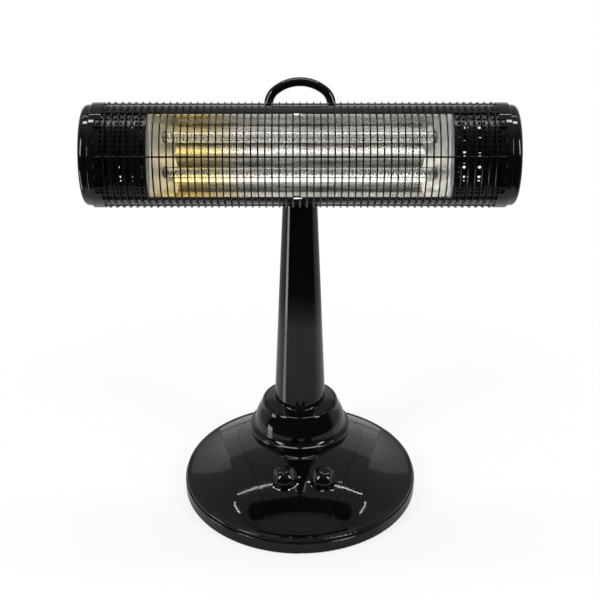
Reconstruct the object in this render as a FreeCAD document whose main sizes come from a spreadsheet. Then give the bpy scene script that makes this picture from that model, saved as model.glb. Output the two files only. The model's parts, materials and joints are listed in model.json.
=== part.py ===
import FreeCAD, Part
import math
import os
import Sketcher
from collections import namedtuple
from types import SimpleNamespace
from FreeCAD import Placement, Rotation, Vector

# A carbon heater: a round base with two knobs, a swivelling post and a tilting head with two tubes.
# Millimetres, +Z up, the front faces -Y, the origin lies on the floor under the middle of the base.

SIZES = {
    # Clearances: a seated gap, a running fit on the radius, a seam between mouldings, a cut's overrun
    "seat_gap": 0.1,
    "running_gap": 0.06,
    "seam": 0.5,
    "moving_gap": 0.6,
    "overrun": 5,
    # Tray and feet
    "base_radius": 150,
    "tray_height": 16,
    "tray_floor": 3,
    "tray_wall": 2.5,
    "tray_round": 1.5,
    "foot_height": 2,
    "foot_radius": 11,
    "foot_circle": 128,
    "ballast_radius": 116,
    "ballast_thick": 7,
    "base_screw_circle": 132,
    "boss_radius": 5,
    "inlet_radius": 3.2,
    "grommet_radius": 4,
    "grommet_flange": 4.4,
    "grommet_lip": 1.5,
    # Cover: rim, side facets, raised middle
    "rim_groove": 1.5,
    "rim_inset": 1.5,
    "cover_edge": 3.5,
    "cover_round": 2,
    "lip_width": 6.5,
    "side_inner": 88,
    "side_rise": 23.8,
    "side_sweep": 130,
    "dome_radius": 141,
    "dome_edge": 1.5,
    "dome_top": 61,
    "hump_back": 123,
    "hump_front": 65,
    "mould_wall": 2.5,
    "skirt_depth": 11,
    "skirt_gap": 0.4,
    # Control panel let into the cover
    "panel_half": 82,
    "panel_shoulder": 42,
    "panel_tip": 45,
    "panel_forward": 93,
    # Knobs and what they turn
    "timer_x": -19.5,
    "selector_x": 29,
    "knob_y": -65,
    "knob_radius": 16,
    "knob_skirt": 2.5,
    "knob_height": 15.5,
    "knob_top": 9,
    "knob_bulge": 16,
    "rib_width": 8,
    "scoop_radius": 11,
    "scoop_floor": 6.5,
    "shaft_radius": 3,
    "shaft_depth": 16,
    "shaft_top": 9,
    "timer_width": 38,
    "timer_height": 17,
    "switch_radius": 15,
    "switch_height": 15,
    "timer_rest_turn": 95,
    "selector_rest_turn": 80,
    # Collar at the foot of the post
    "post_back": 50,
    "collar_bore": 46,
    "collar_height": 39,
    "collar_lip": 3.5,
    "collar_lip_drop": 2.2,
    "collar_lip_round": 4,
    "collar_waist": 55,
    "collar_waist_drop": 18.5,
    "collar_foot": 58.5,
    "collar_foot_drop": 31.4,
    "collar_flange": 65.5,
    "collar_flange_drop": 38.4,
    "collar_flare": 7.5,
    "collar_skirt": 34,
    # Post
    "post_foot": 33.2,
    "post_top": 19.7,
    "post_length": 315,
    "post_lift": 2,
    "post_wall": 2.5,
    "ring_rise": 2.5,
    "pipe_radius": 10.5,
    "pipe_wall": 1.6,
    "pipe_drop": 24,
    "cable_radius": 4,
    # Swivel and swing drive
    "bridge_height": 56,
    "bridge_plate": 4,
    "bridge_half": 40,
    "bridge_depth": 40,
    "bridge_foot": 14,
    "bush_wall": 2.5,
    "bush_flange": 3,
    "bush_flange_radius": 38,
    "disc_thick": 4,
    "nut_height": 8,
    "nut_radius": 17,
    "nut_drop": 4,
    "arm_thick": 4,
    "arm_half": 9,
    "arm_hub": 15,
    "arm_drop": 14,
    "motor_reach": 40,
    "motor_radius": 24,
    "motor_height": 18,
    "crank_radius": 20,
    "crank_lift": 4,
    "crank_thick": 4,
    "crank_pin": 3,
    "crank_margin": 4,
    "tip_switch_width": 26,
    "tip_switch_height": 22,
    "terminal_length": 44,
    "terminal_width": 18,
    "terminal_height": 14,
    "inside_offset": 82,
    # Tilting neck
    "hinge_rise": 31,
    "hinge_reach": 85,
    "rest_tilt": 20,
    "ear_radius": 14,
    "ear_thick": 7,
    "fork_slot": 14,
    "slot_depth": 16,
    "knuckle_plug": 25,
    "knuckle_flange": 3,
    "pipe_seat": 5,
    "bolt_radius": 3,
    "bolt_head": 5.8,
    "bolt_head_height": 4,
    "washer_radius": 10,
    "washer_thick": 0.8,
    "tongue_half": 9,
    "tongue_hub": 11,
    "saddle_half": 32,
    "saddle_thick": 3,
    "saddle_angle": 17,
    # Head
    "shell_radius": 55.5,
    "shell_sheet": 1,
    "body_half": 225.5,
    "window_half": 168,
    "window_angle": 62,
    "ring_radius": 59,
    "ring_inner": 50,
    "ring_width": 7,
    "ring_round": 1.5,
    "tab_reach": 7,
    "tab_start": 34,
    "tab_end": 96,
    "tab_lift": 0.3,
    "cap_radius": 56.5,
    "cap_depth": 10.5,
    "cap_round": 6,
    "screw_angle": 40.5,
    "screw_inset": 3.5,
    # Perforated panels and rear vents
    "panel_sheet": 0.8,
    "hole_radius": 1.65,
    "hole_pitch": 5.6,
    "hole_margin": 5.2,
    "hole_angle": 52,
    "vent_width": 6,
    "vent_height": 7.5,
    "vent_pitch": 15.5,
    "vent_margin": 10,
    # Guard
    "hoop_radius": 58.7,
    "hoop_wire": 0.9,
    "hoop_pitch": 7.65,
    "hoop_end": 96,
    "rail_wire": 1,
    "rail_edge_angle": 57,
    "rail_end_angle": 90,
    # Reflector and tubes
    "reflector_sheet": 0.8,
    "end_plate_slant": 27,
    "tube_radius": 6.5,
    "tube_wall": 1.2,
    "tube_spread": 20,
    "tube_back": 4,
    "tube_reach": 8,
    "bulkhead_sheet": 1.2,
    "holder_radius": 8.5,
    "holder_length": 14,
    "ribbon_width": 5.5,
    "ribbon_thick": 0.6,
    "lead_radius": 0.8,
    "lead_length": 22,
    "cutout_radius": 8,
    "cutout_height": 7,
    "cutout_x": 62,
    # Handle
    "handle_half": 36.2,
    "handle_bar": 5.2,
    "handle_back": 38,
    "handle_spring": 56,
    "handle_side_bend": 21,
    "handle_rise": 26.3,
    # Screws
    "screw_head": 3.3,
    "screw_head_height": 1.6,
    "screw_shank": 1.5,
    "screw_length": 8,
    "screw_clear": 0.3,
    "screw_slot": 0.9,
    "screw_slot_depth": 0.9,
}

# Counts, and places given as shares of the sizes that they follow
FOOT_COUNT = 6
BASE_SCREW_COUNT = 4
HOOP_COUNT = 57
WIRE_SIDES = 8
VENT_ROWS = 5
VENT_COLUMNS = 3
REFLECTOR_SHARES = ((0.56, 0.81), (0.04, 0.755), (-0.4, 0.57), (-0.585, 0.3), (-0.45, 0))
HALF_SHARE = 0.5
FULL_TURN = 360

doc = FreeCAD.newDocument("CarbonHeater")
sheet = doc.addObject("Spreadsheet::Sheet", "Sizes")
for row, (name, value) in enumerate(SIZES.items(), start=1):
    sheet.set(f"A{row}", name)
    sheet.set(f"B{row}", str(value))
    sheet.setAlias(f"B{row}", name)
doc.recompute()


class Size:
    """A number from the sheet, or one worked out from it, with the expression that gives it."""

    def __init__(self, value, text):
        self.value = value
        self.text = text

    def __add__(self, other):
        return Size(self.value + other.value, f"({self.text} + {other.text})")

    def __sub__(self, other):
        return Size(self.value - other.value, f"({self.text} - {other.text})")

    def __mul__(self, share):
        return Size(self.value * share, f"({self.text} * {share})")

    def __neg__(self):
        return self * -1


dim = SimpleNamespace(**{name: Size(value, f"Sizes.{name}") for name, value in SIZES.items()})
ZERO = Size(0, "0")
Corner = namedtuple("Corner", "x y bend turn", defaults=(None, 1))

UP = Vector(0, 0, 1)
ALONG_Y = Rotation(Vector(1, 0, 0), -90)
# Turns a cylinder's axis to X, with its sector's zero facing forwards and growing downwards
ALONG_X = Rotation(Vector(0, -1, 0), Vector(0, 0, -1), Vector(1, 0, 0), "ZXY")

# Levels above the floor, and places that several pieces share
inner_floor = dim.foot_height + dim.tray_floor
ballast_top = inner_floor + dim.ballast_thick
tray_top = dim.foot_height + dim.tray_height
groove_top = tray_top + dim.rim_groove
lip_level = groove_top + dim.cover_edge
edge_radius = dim.base_radius - dim.rim_inset
skirt_radius = dim.base_radius - dim.tray_wall - dim.skirt_gap
skirt_level = groove_top - dim.skirt_depth
dome_rise = dim.dome_top - lip_level - dim.dome_edge
dome_sphere = Size(
    (dim.dome_radius.value ** 2 + dome_rise.value ** 2) / (2 * dome_rise.value),
    f"(({dim.dome_radius.text} ^ 2 + {dome_rise.text} ^ 2) / (2 * {dome_rise.text}))",
)
dome_centre = dim.dome_top - dome_sphere
collar_top = dim.dome_top + dim.collar_height
ring_radius = dim.collar_bore - dim.moving_gap
post_foot_level = collar_top + dim.post_lift
post_top_level = post_foot_level + dim.post_length
bridge_under = ballast_top + dim.bridge_height
bridge_top = bridge_under + dim.bridge_plate
bush_top = bridge_top + dim.bush_flange
disc_level = bush_top + dim.running_gap
disc_top = disc_level + dim.disc_thick
nut_level = bridge_under - dim.nut_drop - dim.nut_height
arm_level = bridge_under - dim.arm_drop - dim.arm_thick
pipe_level = bridge_under - dim.pipe_drop
motor_y = dim.post_back - dim.motor_reach
motor_top = ballast_top + dim.motor_height
crank_level = motor_top + dim.crank_lift
hinge_level = post_top_level + dim.hinge_rise
fork_half = dim.fork_slot * HALF_SHARE + dim.ear_thick
tongue_width = dim.fork_slot - (dim.washer_thick + dim.moving_gap * HALF_SHARE) * 2
shell_bore = dim.shell_radius - dim.shell_sheet
rail_circle = dim.hoop_radius - dim.hoop_wire - dim.rail_wire - dim.seat_gap * HALF_SHARE
parts = []


def keep(piece):
    """Adds a finished sub-part to those that are written out."""
    parts.append(piece)
    return piece


def bind(piece, **sizes):
    """Ties a piece's properties to the sheet."""
    for key, size in sizes.items():
        piece.setExpression(key, size.text)
    return piece


def seat(piece, x=ZERO, y=ZERO, z=ZERO):
    """Ties a piece's place to the sheet."""
    for key, size in (("x", x), ("y", y), ("z", z)):
        piece.setExpression(f"Placement.Base.{key}", size.text)
    return piece


def set_in(piece, frame):
    """Puts a piece that was made in a local frame where that frame is."""
    piece.Placement = frame
    return piece


def hold(sketch, side, end, x, y):
    """Fixes one end of a sketch's side at its distances from the sketch's origin."""
    for kind, size, axis in (("DistanceX", x, -2), ("DistanceY", y, -1)):
        if size is ZERO:
            sketch.addConstraint(Sketcher.Constraint("PointOnObject", side, end, axis))
        else:
            index = sketch.addConstraint(Sketcher.Constraint(kind, -1, 1, side, end, size.value))
            sketch.setExpression(f"Constraints[{index}]", size.text)


def arc_middle(start, finish, radius, turn):
    """The middle of the short arc between two points; turn 1 has its centre on the left."""
    chord = finish - start
    left = Vector(-chord.y, chord.x, 0).normalize()
    rest = math.sqrt(max(radius ** 2 - chord.Length ** 2 / 4, 0))
    return (start + finish) * HALF_SHARE - left * (turn * (radius - rest))


def sketch_on(body, role, name):
    """An empty sketch on one of a body's own planes."""
    sketch = body.newObject("Sketcher::SketchObject", name)
    plane = next(feature for feature in body.Origin.OriginFeatures if feature.Role == role)
    sketch.AttachmentSupport = [(plane, "")]
    sketch.MapMode = "FlatFace"
    return sketch


def end_near(sketch, side, point):
    """Which end of a sketch's side, 1 or 2, lies nearer to a point."""
    return min((1, 2), key=lambda end: sketch.getPoint(side, end).distanceToPoint(point))


def set_radius(sketch, side, radius):
    """Ties the radius of an arc in a sketch to the sheet."""
    index = sketch.addConstraint(Sketcher.Constraint("Radius", side, radius.value))
    sketch.setExpression(f"Constraints[{index}]", radius.text)


def draw(body, role, name, corners):
    """Draws a closed outline of straight sides and arcs on one of a body's own planes."""
    sketch = sketch_on(body, role, name)
    ends = []
    for index, corner in enumerate(corners):
        follower = corners[(index + 1) % len(corners)]
        start = Vector(corner.x.value, corner.y.value, 0)
        finish = Vector(follower.x.value, follower.y.value, 0)
        if corner.bend is None:
            ends.append((sketch.addGeometry(Part.LineSegment(start, finish)), 1, 2))
            continue
        middle = arc_middle(start, finish, corner.bend.value, corner.turn)
        side = sketch.addGeometry(Part.Arc(start, middle, finish))
        first = end_near(sketch, side, start)
        ends.append((side, first, 3 - first))
    for index, (side, first, last) in enumerate(ends):
        after = ends[(index + 1) % len(ends)]
        sketch.addConstraint(Sketcher.Constraint("Coincident", side, last, after[0], after[1]))
    for (side, first, last), corner in zip(ends, corners):
        hold(sketch, side, first, corner.x, corner.y)
        if corner.bend is not None:
            set_radius(sketch, side, corner.bend)
    return sketch


def pad(body, sketch, name, length, symmetric=False):
    """Carries a sketch through a length, one way or half each way."""
    feature = body.newObject("PartDesign::Pad", name)
    feature.Profile = (sketch, [""])
    feature.SideType = "Symmetric" if symmetric else "One side"
    feature.setExpression("Length", length.text)


def turned(name, corners, angle=Size(FULL_TURN, str(FULL_TURN))):
    """A piece turned about Z from its profile in the XZ plane."""
    body = doc.addObject("PartDesign::Body", name)
    sketch = draw(body, "XZ_Plane", f"{name}_profile", corners)
    turn = body.newObject("PartDesign::Revolution", f"{name}_turn")
    turn.Profile = (sketch, [""])
    turn.ReferenceAxis = (sketch, ["V_Axis"])
    bind(turn, Angle=angle)
    return body


def extruded(name, role, corners, length, symmetric=False):
    """A piece drawn on one plane and carried through a length."""
    body = doc.addObject("PartDesign::Body", name)
    pad(body, draw(body, role, f"{name}_outline", corners), f"{name}_pad", length, symmetric)
    return body


def cylinder(name, radius, height, x=ZERO, y=ZERO, z=ZERO, turn=Rotation()):
    """A plain cylinder from its foot at x, y, z."""
    rod = bind(doc.addObject("Part::Cylinder", name), Radius=radius, Height=height)
    rod.Placement = Placement(Vector(), turn)
    return seat(rod, x, y, z)


def block(name, length, width, height, x=ZERO, y=ZERO, z=ZERO):
    """A box centred on x and y, with its bottom at z."""
    box = bind(doc.addObject("Part::Box", name), Length=length, Width=width, Height=height)
    return seat(box, x - length * HALF_SHARE, y - width * HALF_SHARE, z)


def hexagon(name, radius, height, x=ZERO, y=ZERO, z=ZERO, turn=Rotation()):
    """A six-sided prism from its foot at x, y, z."""
    prism = bind(doc.addObject("Part::Prism", name), Circumradius=radius, Height=height)
    prism.Polygon = 6
    prism.Placement = Placement(Vector(), turn)
    return seat(prism, x, y, z)


def combine(kind, name, base, tools):
    """Works tools into a base one after another with Cut, Fuse or Common."""
    for index, tool in enumerate(tools, start=1):
        made = doc.addObject(f"Part::{kind}", name if index == len(tools) else f"{name}_{kind}_{index}")
        made.Base = base
        made.Tool = tool
        base = made
    return base


def cut(name, base, *tools):
    """A base with tools taken away from it."""
    return combine("Cut", name, base, tools)


def fuse(name, base, *tools):
    """A base with tools joined to it."""
    return combine("Fuse", name, base, tools)


def common(name, base, *tools):
    """What a base and its tools share."""
    return combine("Common", name, base, tools)


def copies(name, master, frames):
    """A group of separate solids: one master at each frame."""
    group = doc.addObject("Part::Feature", name)
    doc.recompute()
    solids = []
    for frame in frames:
        solid = master.Shape.copy()
        solid.Placement = frame.multiply(master.Shape.Placement)
        solids.append(solid)
    group.Shape = Part.makeCompound(solids)
    return group


def ring_of(count, radius, level, first_angle):
    """Upright frames spaced evenly on a circle about the base's axis."""
    frames = []
    for index in range(count):
        angle = math.radians(first_angle + index * FULL_TURN / count)
        place = Vector(radius.value * math.cos(angle), radius.value * math.sin(angle), level.value)
        frames.append(Placement(place, Rotation()))
    return frames


def screw(name):
    """A round-headed screw with a crossed recess, its head's underside at the origin."""
    form = turned(f"{name}_form", [
        Corner(ZERO, -dim.screw_length),
        Corner(dim.screw_shank, -dim.screw_length),
        Corner(dim.screw_shank, ZERO),
        Corner(dim.screw_head, ZERO),
        Corner(dim.screw_head, dim.screw_head_height * HALF_SHARE),
        Corner(dim.screw_head * HALF_SHARE, dim.screw_head_height),
        Corner(ZERO, dim.screw_head_height),
    ])
    level = dim.screw_head_height - dim.screw_slot_depth
    slot = (dim.screw_slot, dim.screw_head)
    first = block(f"{name}_slot", slot[0], slot[1], dim.overrun, z=level)
    second = block(f"{name}_cross", slot[1], slot[0], dim.overrun, z=level)
    return cut(f"{name}_master", form, first, second)


screw_master = screw("screw")


def build_tray():
    """Tray, feet, ballast and the inlet grommet at the back."""
    form = turned("tray_form", [
        Corner(ZERO, dim.foot_height),
        Corner(dim.base_radius - dim.tray_round, dim.foot_height, dim.tray_round),
        Corner(dim.base_radius, dim.foot_height + dim.tray_round),
        Corner(dim.base_radius, tray_top - dim.tray_round, dim.tray_round),
        Corner(dim.base_radius - dim.tray_round, tray_top),
        Corner(dim.base_radius - dim.tray_wall, tray_top),
        Corner(dim.base_radius - dim.tray_wall, inner_floor),
        Corner(ZERO, inner_floor),
    ])
    head_level = dim.foot_height + dim.screw_head_height + dim.screw_clear
    sink = cylinder("tray_sink", dim.screw_head + dim.screw_clear, head_level)
    bore = cylinder("tray_screw_bore", dim.screw_shank + dim.screw_clear, inner_floor + dim.overrun)
    places = ring_of(BASE_SCREW_COUNT, dim.base_screw_circle, ZERO, FULL_TURN / BASE_SCREW_COUNT / 2)
    sinks = copies("tray_sinks", sink, places)
    bores = copies("tray_screw_bores", bore, places)
    inlet_level = (inner_floor + tray_top) * HALF_SHARE
    hole = cylinder("tray_inlet", dim.grommet_radius + dim.seat_gap, dim.tray_wall + dim.overrun * 2,
                    y=dim.base_radius - dim.tray_wall - dim.overrun, z=inlet_level, turn=ALONG_Y)
    keep(cut("base_tray", form, sinks, bores, hole))

    upside_down = Rotation(Vector(1, 0, 0), FULL_TURN / 2)
    screw_frames = [Placement(Vector(place.Base.x, place.Base.y, head_level.value), upside_down)
                    for place in places]
    keep(copies("base_screws", screw_master, screw_frames))

    foot = cylinder("foot_master", dim.foot_radius, dim.foot_height)
    keep(copies("rubber_feet", foot, ring_of(FOOT_COUNT, dim.foot_circle, ZERO, FULL_TURN / 12)))

    outer_end = dim.base_radius - dim.seat_gap * 4
    inner_end = dim.base_radius - dim.tray_wall - dim.grommet_lip
    sleeve = cylinder("grommet_sleeve", dim.grommet_radius, outer_end - inner_end,
                      y=inner_end, z=inlet_level, turn=ALONG_Y)
    lip = cylinder("grommet_lip", dim.grommet_flange, dim.grommet_lip - dim.skirt_gap * HALF_SHARE,
                   y=inner_end, z=inlet_level, turn=ALONG_Y)
    way = cylinder("grommet_way", dim.inlet_radius, dim.base_radius, z=inlet_level, turn=ALONG_Y)
    keep(cut("cord_grommet", fuse("grommet_form", sleeve, lip), way))


def cover_form(name, drop, inset):
    """The cover's full form, let down by drop and with its raised middle drawn in by inset."""
    low = turned(f"{name}_low", [
        Corner(ZERO, skirt_level),
        Corner(skirt_radius, skirt_level),
        Corner(skirt_radius, groove_top),
        Corner(edge_radius, groove_top),
        Corner(edge_radius, lip_level - dim.cover_round, dim.cover_round),
        Corner(edge_radius - dim.cover_round, lip_level),
        Corner(edge_radius - dim.lip_width, lip_level, dim.side_sweep, -1),
        Corner(dim.side_inner, lip_level + dim.side_rise),
        Corner(ZERO, lip_level + dim.side_rise),
    ])
    seat(low, z=-drop)
    sphere = bind(doc.addObject("Part::Sphere", f"{name}_sphere"), Radius=dome_sphere)
    seat(sphere, z=dome_centre - drop)
    back, front = dim.hump_back - inset, dim.hump_front - inset
    wedge = extruded(f"{name}_wedge", "XY_Plane", [
        Corner(-back, dim.base_radius),
        Corner(-front, -dim.base_radius),
        Corner(front, -dim.base_radius),
        Corner(back, dim.base_radius),
    ], dim.dome_top + dim.overrun)
    round_edge = cylinder(f"{name}_edge", dim.dome_radius - inset, dim.dome_top,
                          z=lip_level - dim.mould_wall - drop)
    hump = common(f"{name}_hump", sphere, wedge, round_edge)
    return fuse(f"{name}_form", low, hump)


def panel_prism(name, gap):
    """An upright prism of the control panel's drop outline, grown by gap: two arcs and two tangents."""
    body = doc.addObject("PartDesign::Body", name)
    sketch = sketch_on(body, "XY_Plane", f"{name}_outline")
    back, tip = dim.panel_half + gap, dim.panel_tip + gap
    lean = (tip.value - back.value) / (dim.panel_shoulder.value + dim.panel_forward.value)
    back_middle = Vector(0, dim.panel_shoulder.value, 0)
    tip_middle = Vector(0, -dim.panel_forward.value, 0)
    left, right = [Vector(side * math.sqrt(1 - lean ** 2), lean, 0) for side in (-1, 1)]
    ahead = Vector(0, -1, 0)
    arcs = []
    for middle, radius, far in ((back_middle, back, -ahead), (tip_middle, tip, ahead)):
        ends = [middle + way * radius.value for way in (left, far, right)]
        arcs.append((sketch.addGeometry(Part.Arc(*ends)), radius, middle))
    for arc, radius, middle in arcs:
        hold(sketch, arc, 3, ZERO, dim.panel_shoulder if middle.y > 0 else -dim.panel_forward)
        set_radius(sketch, arc, radius)
    for way in (left, right):
        points = [middle + way * radius.value for arc, radius, middle in arcs]
        side = sketch.addGeometry(Part.LineSegment(*points))
        for end, (point, (arc, radius, middle)) in enumerate(zip(points, arcs), start=1):
            near = end_near(sketch, arc, point)
            sketch.addConstraint(Sketcher.Constraint("Tangent", side, end, arc, near))
    pad(body, sketch, f"{name}_pad", dim.dome_top + dim.overrun)
    return body


def dome_frame(x, y):
    """The frame on the dome's surface at x and y, with Z along the dome's normal there."""
    depth = dome_sphere.value
    normal = Vector(x.value, y.value, math.sqrt(depth ** 2 - x.value ** 2 - y.value ** 2))
    return Placement(Vector(0, 0, dome_centre.value) + normal, Rotation(UP, normal))


def dome_drop(radius):
    """How far the dome falls away from its tangent plane at a radius from the point of touch."""
    fall = dome_sphere.value - math.sqrt(dome_sphere.value ** 2 - radius.value ** 2)
    return Size(fall, f"({dome_sphere.text} - sqrt({dome_sphere.text} ^ 2 - {radius.text} ^ 2))")


timer_frame = dome_frame(dim.timer_x, dim.knob_y)
selector_frame = dome_frame(dim.selector_x, dim.knob_y)


def build_cover():
    """Cover with its bosses, the control panel let into it and the collar round the post."""
    outer = cover_form("cover_outer", ZERO, ZERO)
    inner = cover_form("cover_inner", dim.mould_wall, dim.mould_wall)
    room = cylinder("cover_room", skirt_radius - dim.mould_wall, dim.dome_top,
                    z=skirt_level - dim.overrun)
    shell = cut("cover_shell", outer, common("cover_hollow", inner, room))
    boss = cylinder("boss_master", dim.boss_radius, dim.dome_top)
    angle = FULL_TURN / BASE_SCREW_COUNT / 2
    places = ring_of(BASE_SCREW_COUNT, dim.base_screw_circle, inner_floor + dim.seat_gap, angle)
    bosses = common("cover_bosses", copies("boss_rods", boss, places), outer)
    pilot = cylinder("pilot_master", dim.screw_shank, dim.screw_length)
    pilots = copies("cover_pilots", pilot, places)
    # One notch clears the grommet, the one across from it lets the cover go on either way round
    notch = cylinder("cover_notches", dim.grommet_flange + dim.seam, dim.base_radius * 2,
                     y=-dim.base_radius, z=(inner_floor + tray_top) * HALF_SHARE, turn=ALONG_Y)
    opening = panel_prism("panel_opening", dim.seam)
    open_shell = cut("cover_open", shell, opening, notch)
    keep(cut("base_cover", fuse("cover_bossed", open_shell, bosses), pilots))

    shaft_bore = dim.shaft_radius + dim.moving_gap
    bores = []
    for name, frame in (("timer", timer_frame), ("selector", selector_frame)):
        bore = cylinder(f"panel_{name}_bore", shaft_bore, dim.overrun * 2)
        drop = Placement(Vector(0, 0, -dim.overrun.value), Rotation())
        bores.append(copies(f"panel_{name}_hole", bore, [frame.multiply(drop)]))
    well = cylinder("panel_well", dim.collar_foot - dim.mould_wall * 2, dim.dome_top + dim.overrun,
                    y=dim.post_back)
    blank = common("panel_blank", shell, panel_prism("panel_tongue", ZERO))
    keep(cut("control_panel", blank, well, *bores))

    wall = dim.mould_wall
    shoulder = dim.collar_bore + dim.collar_lip
    waist_level = collar_top - dim.collar_waist_drop
    foot_level = collar_top - dim.collar_foot_drop
    flange_level = collar_top - dim.collar_flange_drop
    skirt_end = dim.dome_top - dim.collar_skirt
    form = turned("collar_form", [
        Corner(dim.collar_bore, collar_top - wall),
        Corner(dim.collar_bore, collar_top),
        Corner(dim.collar_bore + dim.collar_lip * HALF_SHARE, collar_top, dim.collar_lip_round, -1),
        Corner(shoulder, collar_top - dim.collar_lip_drop),
        Corner(dim.collar_waist, waist_level),
        Corner(dim.collar_foot, foot_level, dim.collar_flare),
        Corner(dim.collar_flange, flange_level),
        Corner(dim.collar_flange, skirt_end),
        Corner(dim.collar_foot - wall, skirt_end),
        Corner(dim.collar_foot - wall, foot_level),
        Corner(dim.collar_waist - wall, waist_level),
        Corner(shoulder - wall, collar_top - dim.collar_lip_drop - wall),
    ])
    seat(form, y=dim.post_back)
    seat_sphere = bind(doc.addObject("Part::Sphere", "collar_seat"), Radius=dome_sphere + dim.seat_gap)
    seat(seat_sphere, z=dome_centre)
    keep(cut("collar", form, seat_sphere))


def build_inside():
    """Ballast, swivel bridge, bush, motor, switches and terminal block inside the base."""
    y = dim.post_back
    foot_x = dim.bridge_half + dim.bridge_foot * HALF_SHARE
    foot_y = dim.bridge_depth * HALF_SHARE * HALF_SHARE
    spots = [Vector(side * foot_x.value, y.value + end * foot_y.value, 0)
             for side in (-1, 1) for end in (-1, 1)]
    disc = cylinder("ballast_disc", dim.ballast_radius, dim.ballast_thick, z=inner_floor)
    pilot = cylinder("bridge_pilot", dim.screw_shank + dim.screw_clear, dim.ballast_thick + dim.overrun)
    holes = copies("ballast_holes", pilot, [Placement(spot + UP * inner_floor.value, Rotation())
                                            for spot in spots])
    keep(cut("ballast_plate", disc, holes))

    half, plate = dim.bridge_half, dim.bridge_plate
    strip = extruded("bridge_strip", "XZ_Plane", [
        Corner(-half - dim.bridge_foot, ballast_top),
        Corner(-half + plate, ballast_top),
        Corner(-half + plate, bridge_under),
        Corner(half - plate, bridge_under),
        Corner(half - plate, ballast_top),
        Corner(half + dim.bridge_foot, ballast_top),
        Corner(half + dim.bridge_foot, ballast_top + plate),
        Corner(half, ballast_top + plate),
        Corner(half, bridge_top),
        Corner(-half, bridge_top),
        Corner(-half, ballast_top + plate),
        Corner(-half - dim.bridge_foot, ballast_top + plate),
    ], dim.bridge_depth, symmetric=True)
    seat(strip, y=y)
    bush_radius = dim.pipe_radius + dim.running_gap + dim.bush_wall
    well = cylinder("bridge_well", bush_radius + dim.seat_gap, dim.overrun * 2,
                    y=y, z=bridge_under - dim.overrun)
    bridge_holes = copies("bridge_holes", pilot, [Placement(spot + UP * ballast_top.value, Rotation())
                                                  for spot in spots])
    keep(cut("swivel_bridge", strip, well, bridge_holes))
    head_level = ballast_top + plate
    keep(copies("bridge_screws", screw_master, [Placement(spot + UP * head_level.value, Rotation())
                                                for spot in spots]))

    bore = dim.pipe_radius + dim.running_gap
    bush = turned("swivel_bush", [
        Corner(bore, bridge_under - dim.nut_drop * HALF_SHARE),
        Corner(bush_radius, bridge_under - dim.nut_drop * HALF_SHARE),
        Corner(bush_radius, bridge_top),
        Corner(dim.bush_flange_radius, bridge_top),
        Corner(dim.bush_flange_radius, bush_top),
        Corner(bore, bush_top),
    ])
    keep(seat(bush, y=y))

    can = cylinder("motor_can", dim.motor_radius, dim.motor_height, y=motor_y, z=ballast_top)
    motor_bore = cylinder("motor_bore", dim.shaft_radius + dim.running_gap, dim.motor_height,
                          y=motor_y, z=ballast_top + dim.motor_height * HALF_SHARE)
    ear_length = (dim.motor_radius + dim.boss_radius * 2) * 2
    ears = block("motor_ears", ear_length, dim.boss_radius * 2, dim.bridge_plate,
                 y=motor_y, z=ballast_top)
    keep(cut("swing_motor", fuse("motor_form", can, ears), motor_bore))

    width, height = dim.tip_switch_width, dim.tip_switch_height
    case = block("tip_case", width, width, height, x=dim.inside_offset, y=motor_y, z=ballast_top)
    tube = cylinder("tip_tube", width * HALF_SHARE * HALF_SHARE, height, x=dim.inside_offset,
                    y=motor_y, z=ballast_top + height * HALF_SHARE * HALF_SHARE)
    keep(cut("tip_over_switch", case, tube))

    size = (dim.terminal_width, dim.terminal_length, dim.terminal_height)
    body = block("terminal_body", *size, x=-dim.inside_offset, y=motor_y, z=ballast_top)
    ways = []
    for index in (-1, 0, 1):
        step = dim.terminal_length * (index / 3)
        ways.append(cylinder(f"terminal_way_{index + 1}", dim.screw_head, dim.overrun * 2,
                             x=-dim.inside_offset, y=motor_y + step,
                             z=ballast_top + dim.terminal_height * HALF_SHARE))
    keep(cut("terminal_block", body, *ways))


def build_knob(name, frame, turn):
    """A round knob with two scoops that leave a grip rib, on its own shaft."""
    gap = dim.moving_gap
    form = turned(f"{name}_form", [
        Corner(ZERO, gap),
        Corner(dim.knob_radius, gap),
        Corner(dim.knob_radius, gap + dim.knob_skirt, dim.knob_bulge),
        Corner(dim.knob_top, dim.knob_height),
        Corner(ZERO, dim.knob_height),
    ])
    scoops = []
    for side, word in ((-1, "near"), (1, "far")):
        centre = dim.rib_width * HALF_SHARE + dim.scoop_radius
        scoops.append(cylinder(f"{name}_{word}_scoop", dim.scoop_radius, dim.knob_radius * 2,
                               x=-dim.knob_radius, y=centre * side,
                               z=dim.scoop_floor + dim.scoop_radius, turn=ALONG_X))
    bore = cylinder(f"{name}_bore", dim.shaft_radius + dim.seat_gap, dim.shaft_top + dim.seat_gap)
    knob_frame = frame.multiply(Placement(Vector(), Rotation(UP, turn.value)))
    keep(set_in(cut(f"{name}_knob", form, *scoops, bore), knob_frame))
    shaft = cylinder(f"{name}_rod", dim.shaft_radius, dim.shaft_depth + dim.shaft_top, z=-dim.shaft_depth)
    flat = block(f"{name}_flat", dim.shaft_radius * 2, dim.shaft_radius, dim.shaft_top,
                 y=dim.shaft_radius + dim.shaft_radius * HALF_SHARE * HALF_SHARE)
    keep(set_in(cut(f"{name}_shaft", shaft, flat), frame))


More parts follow.
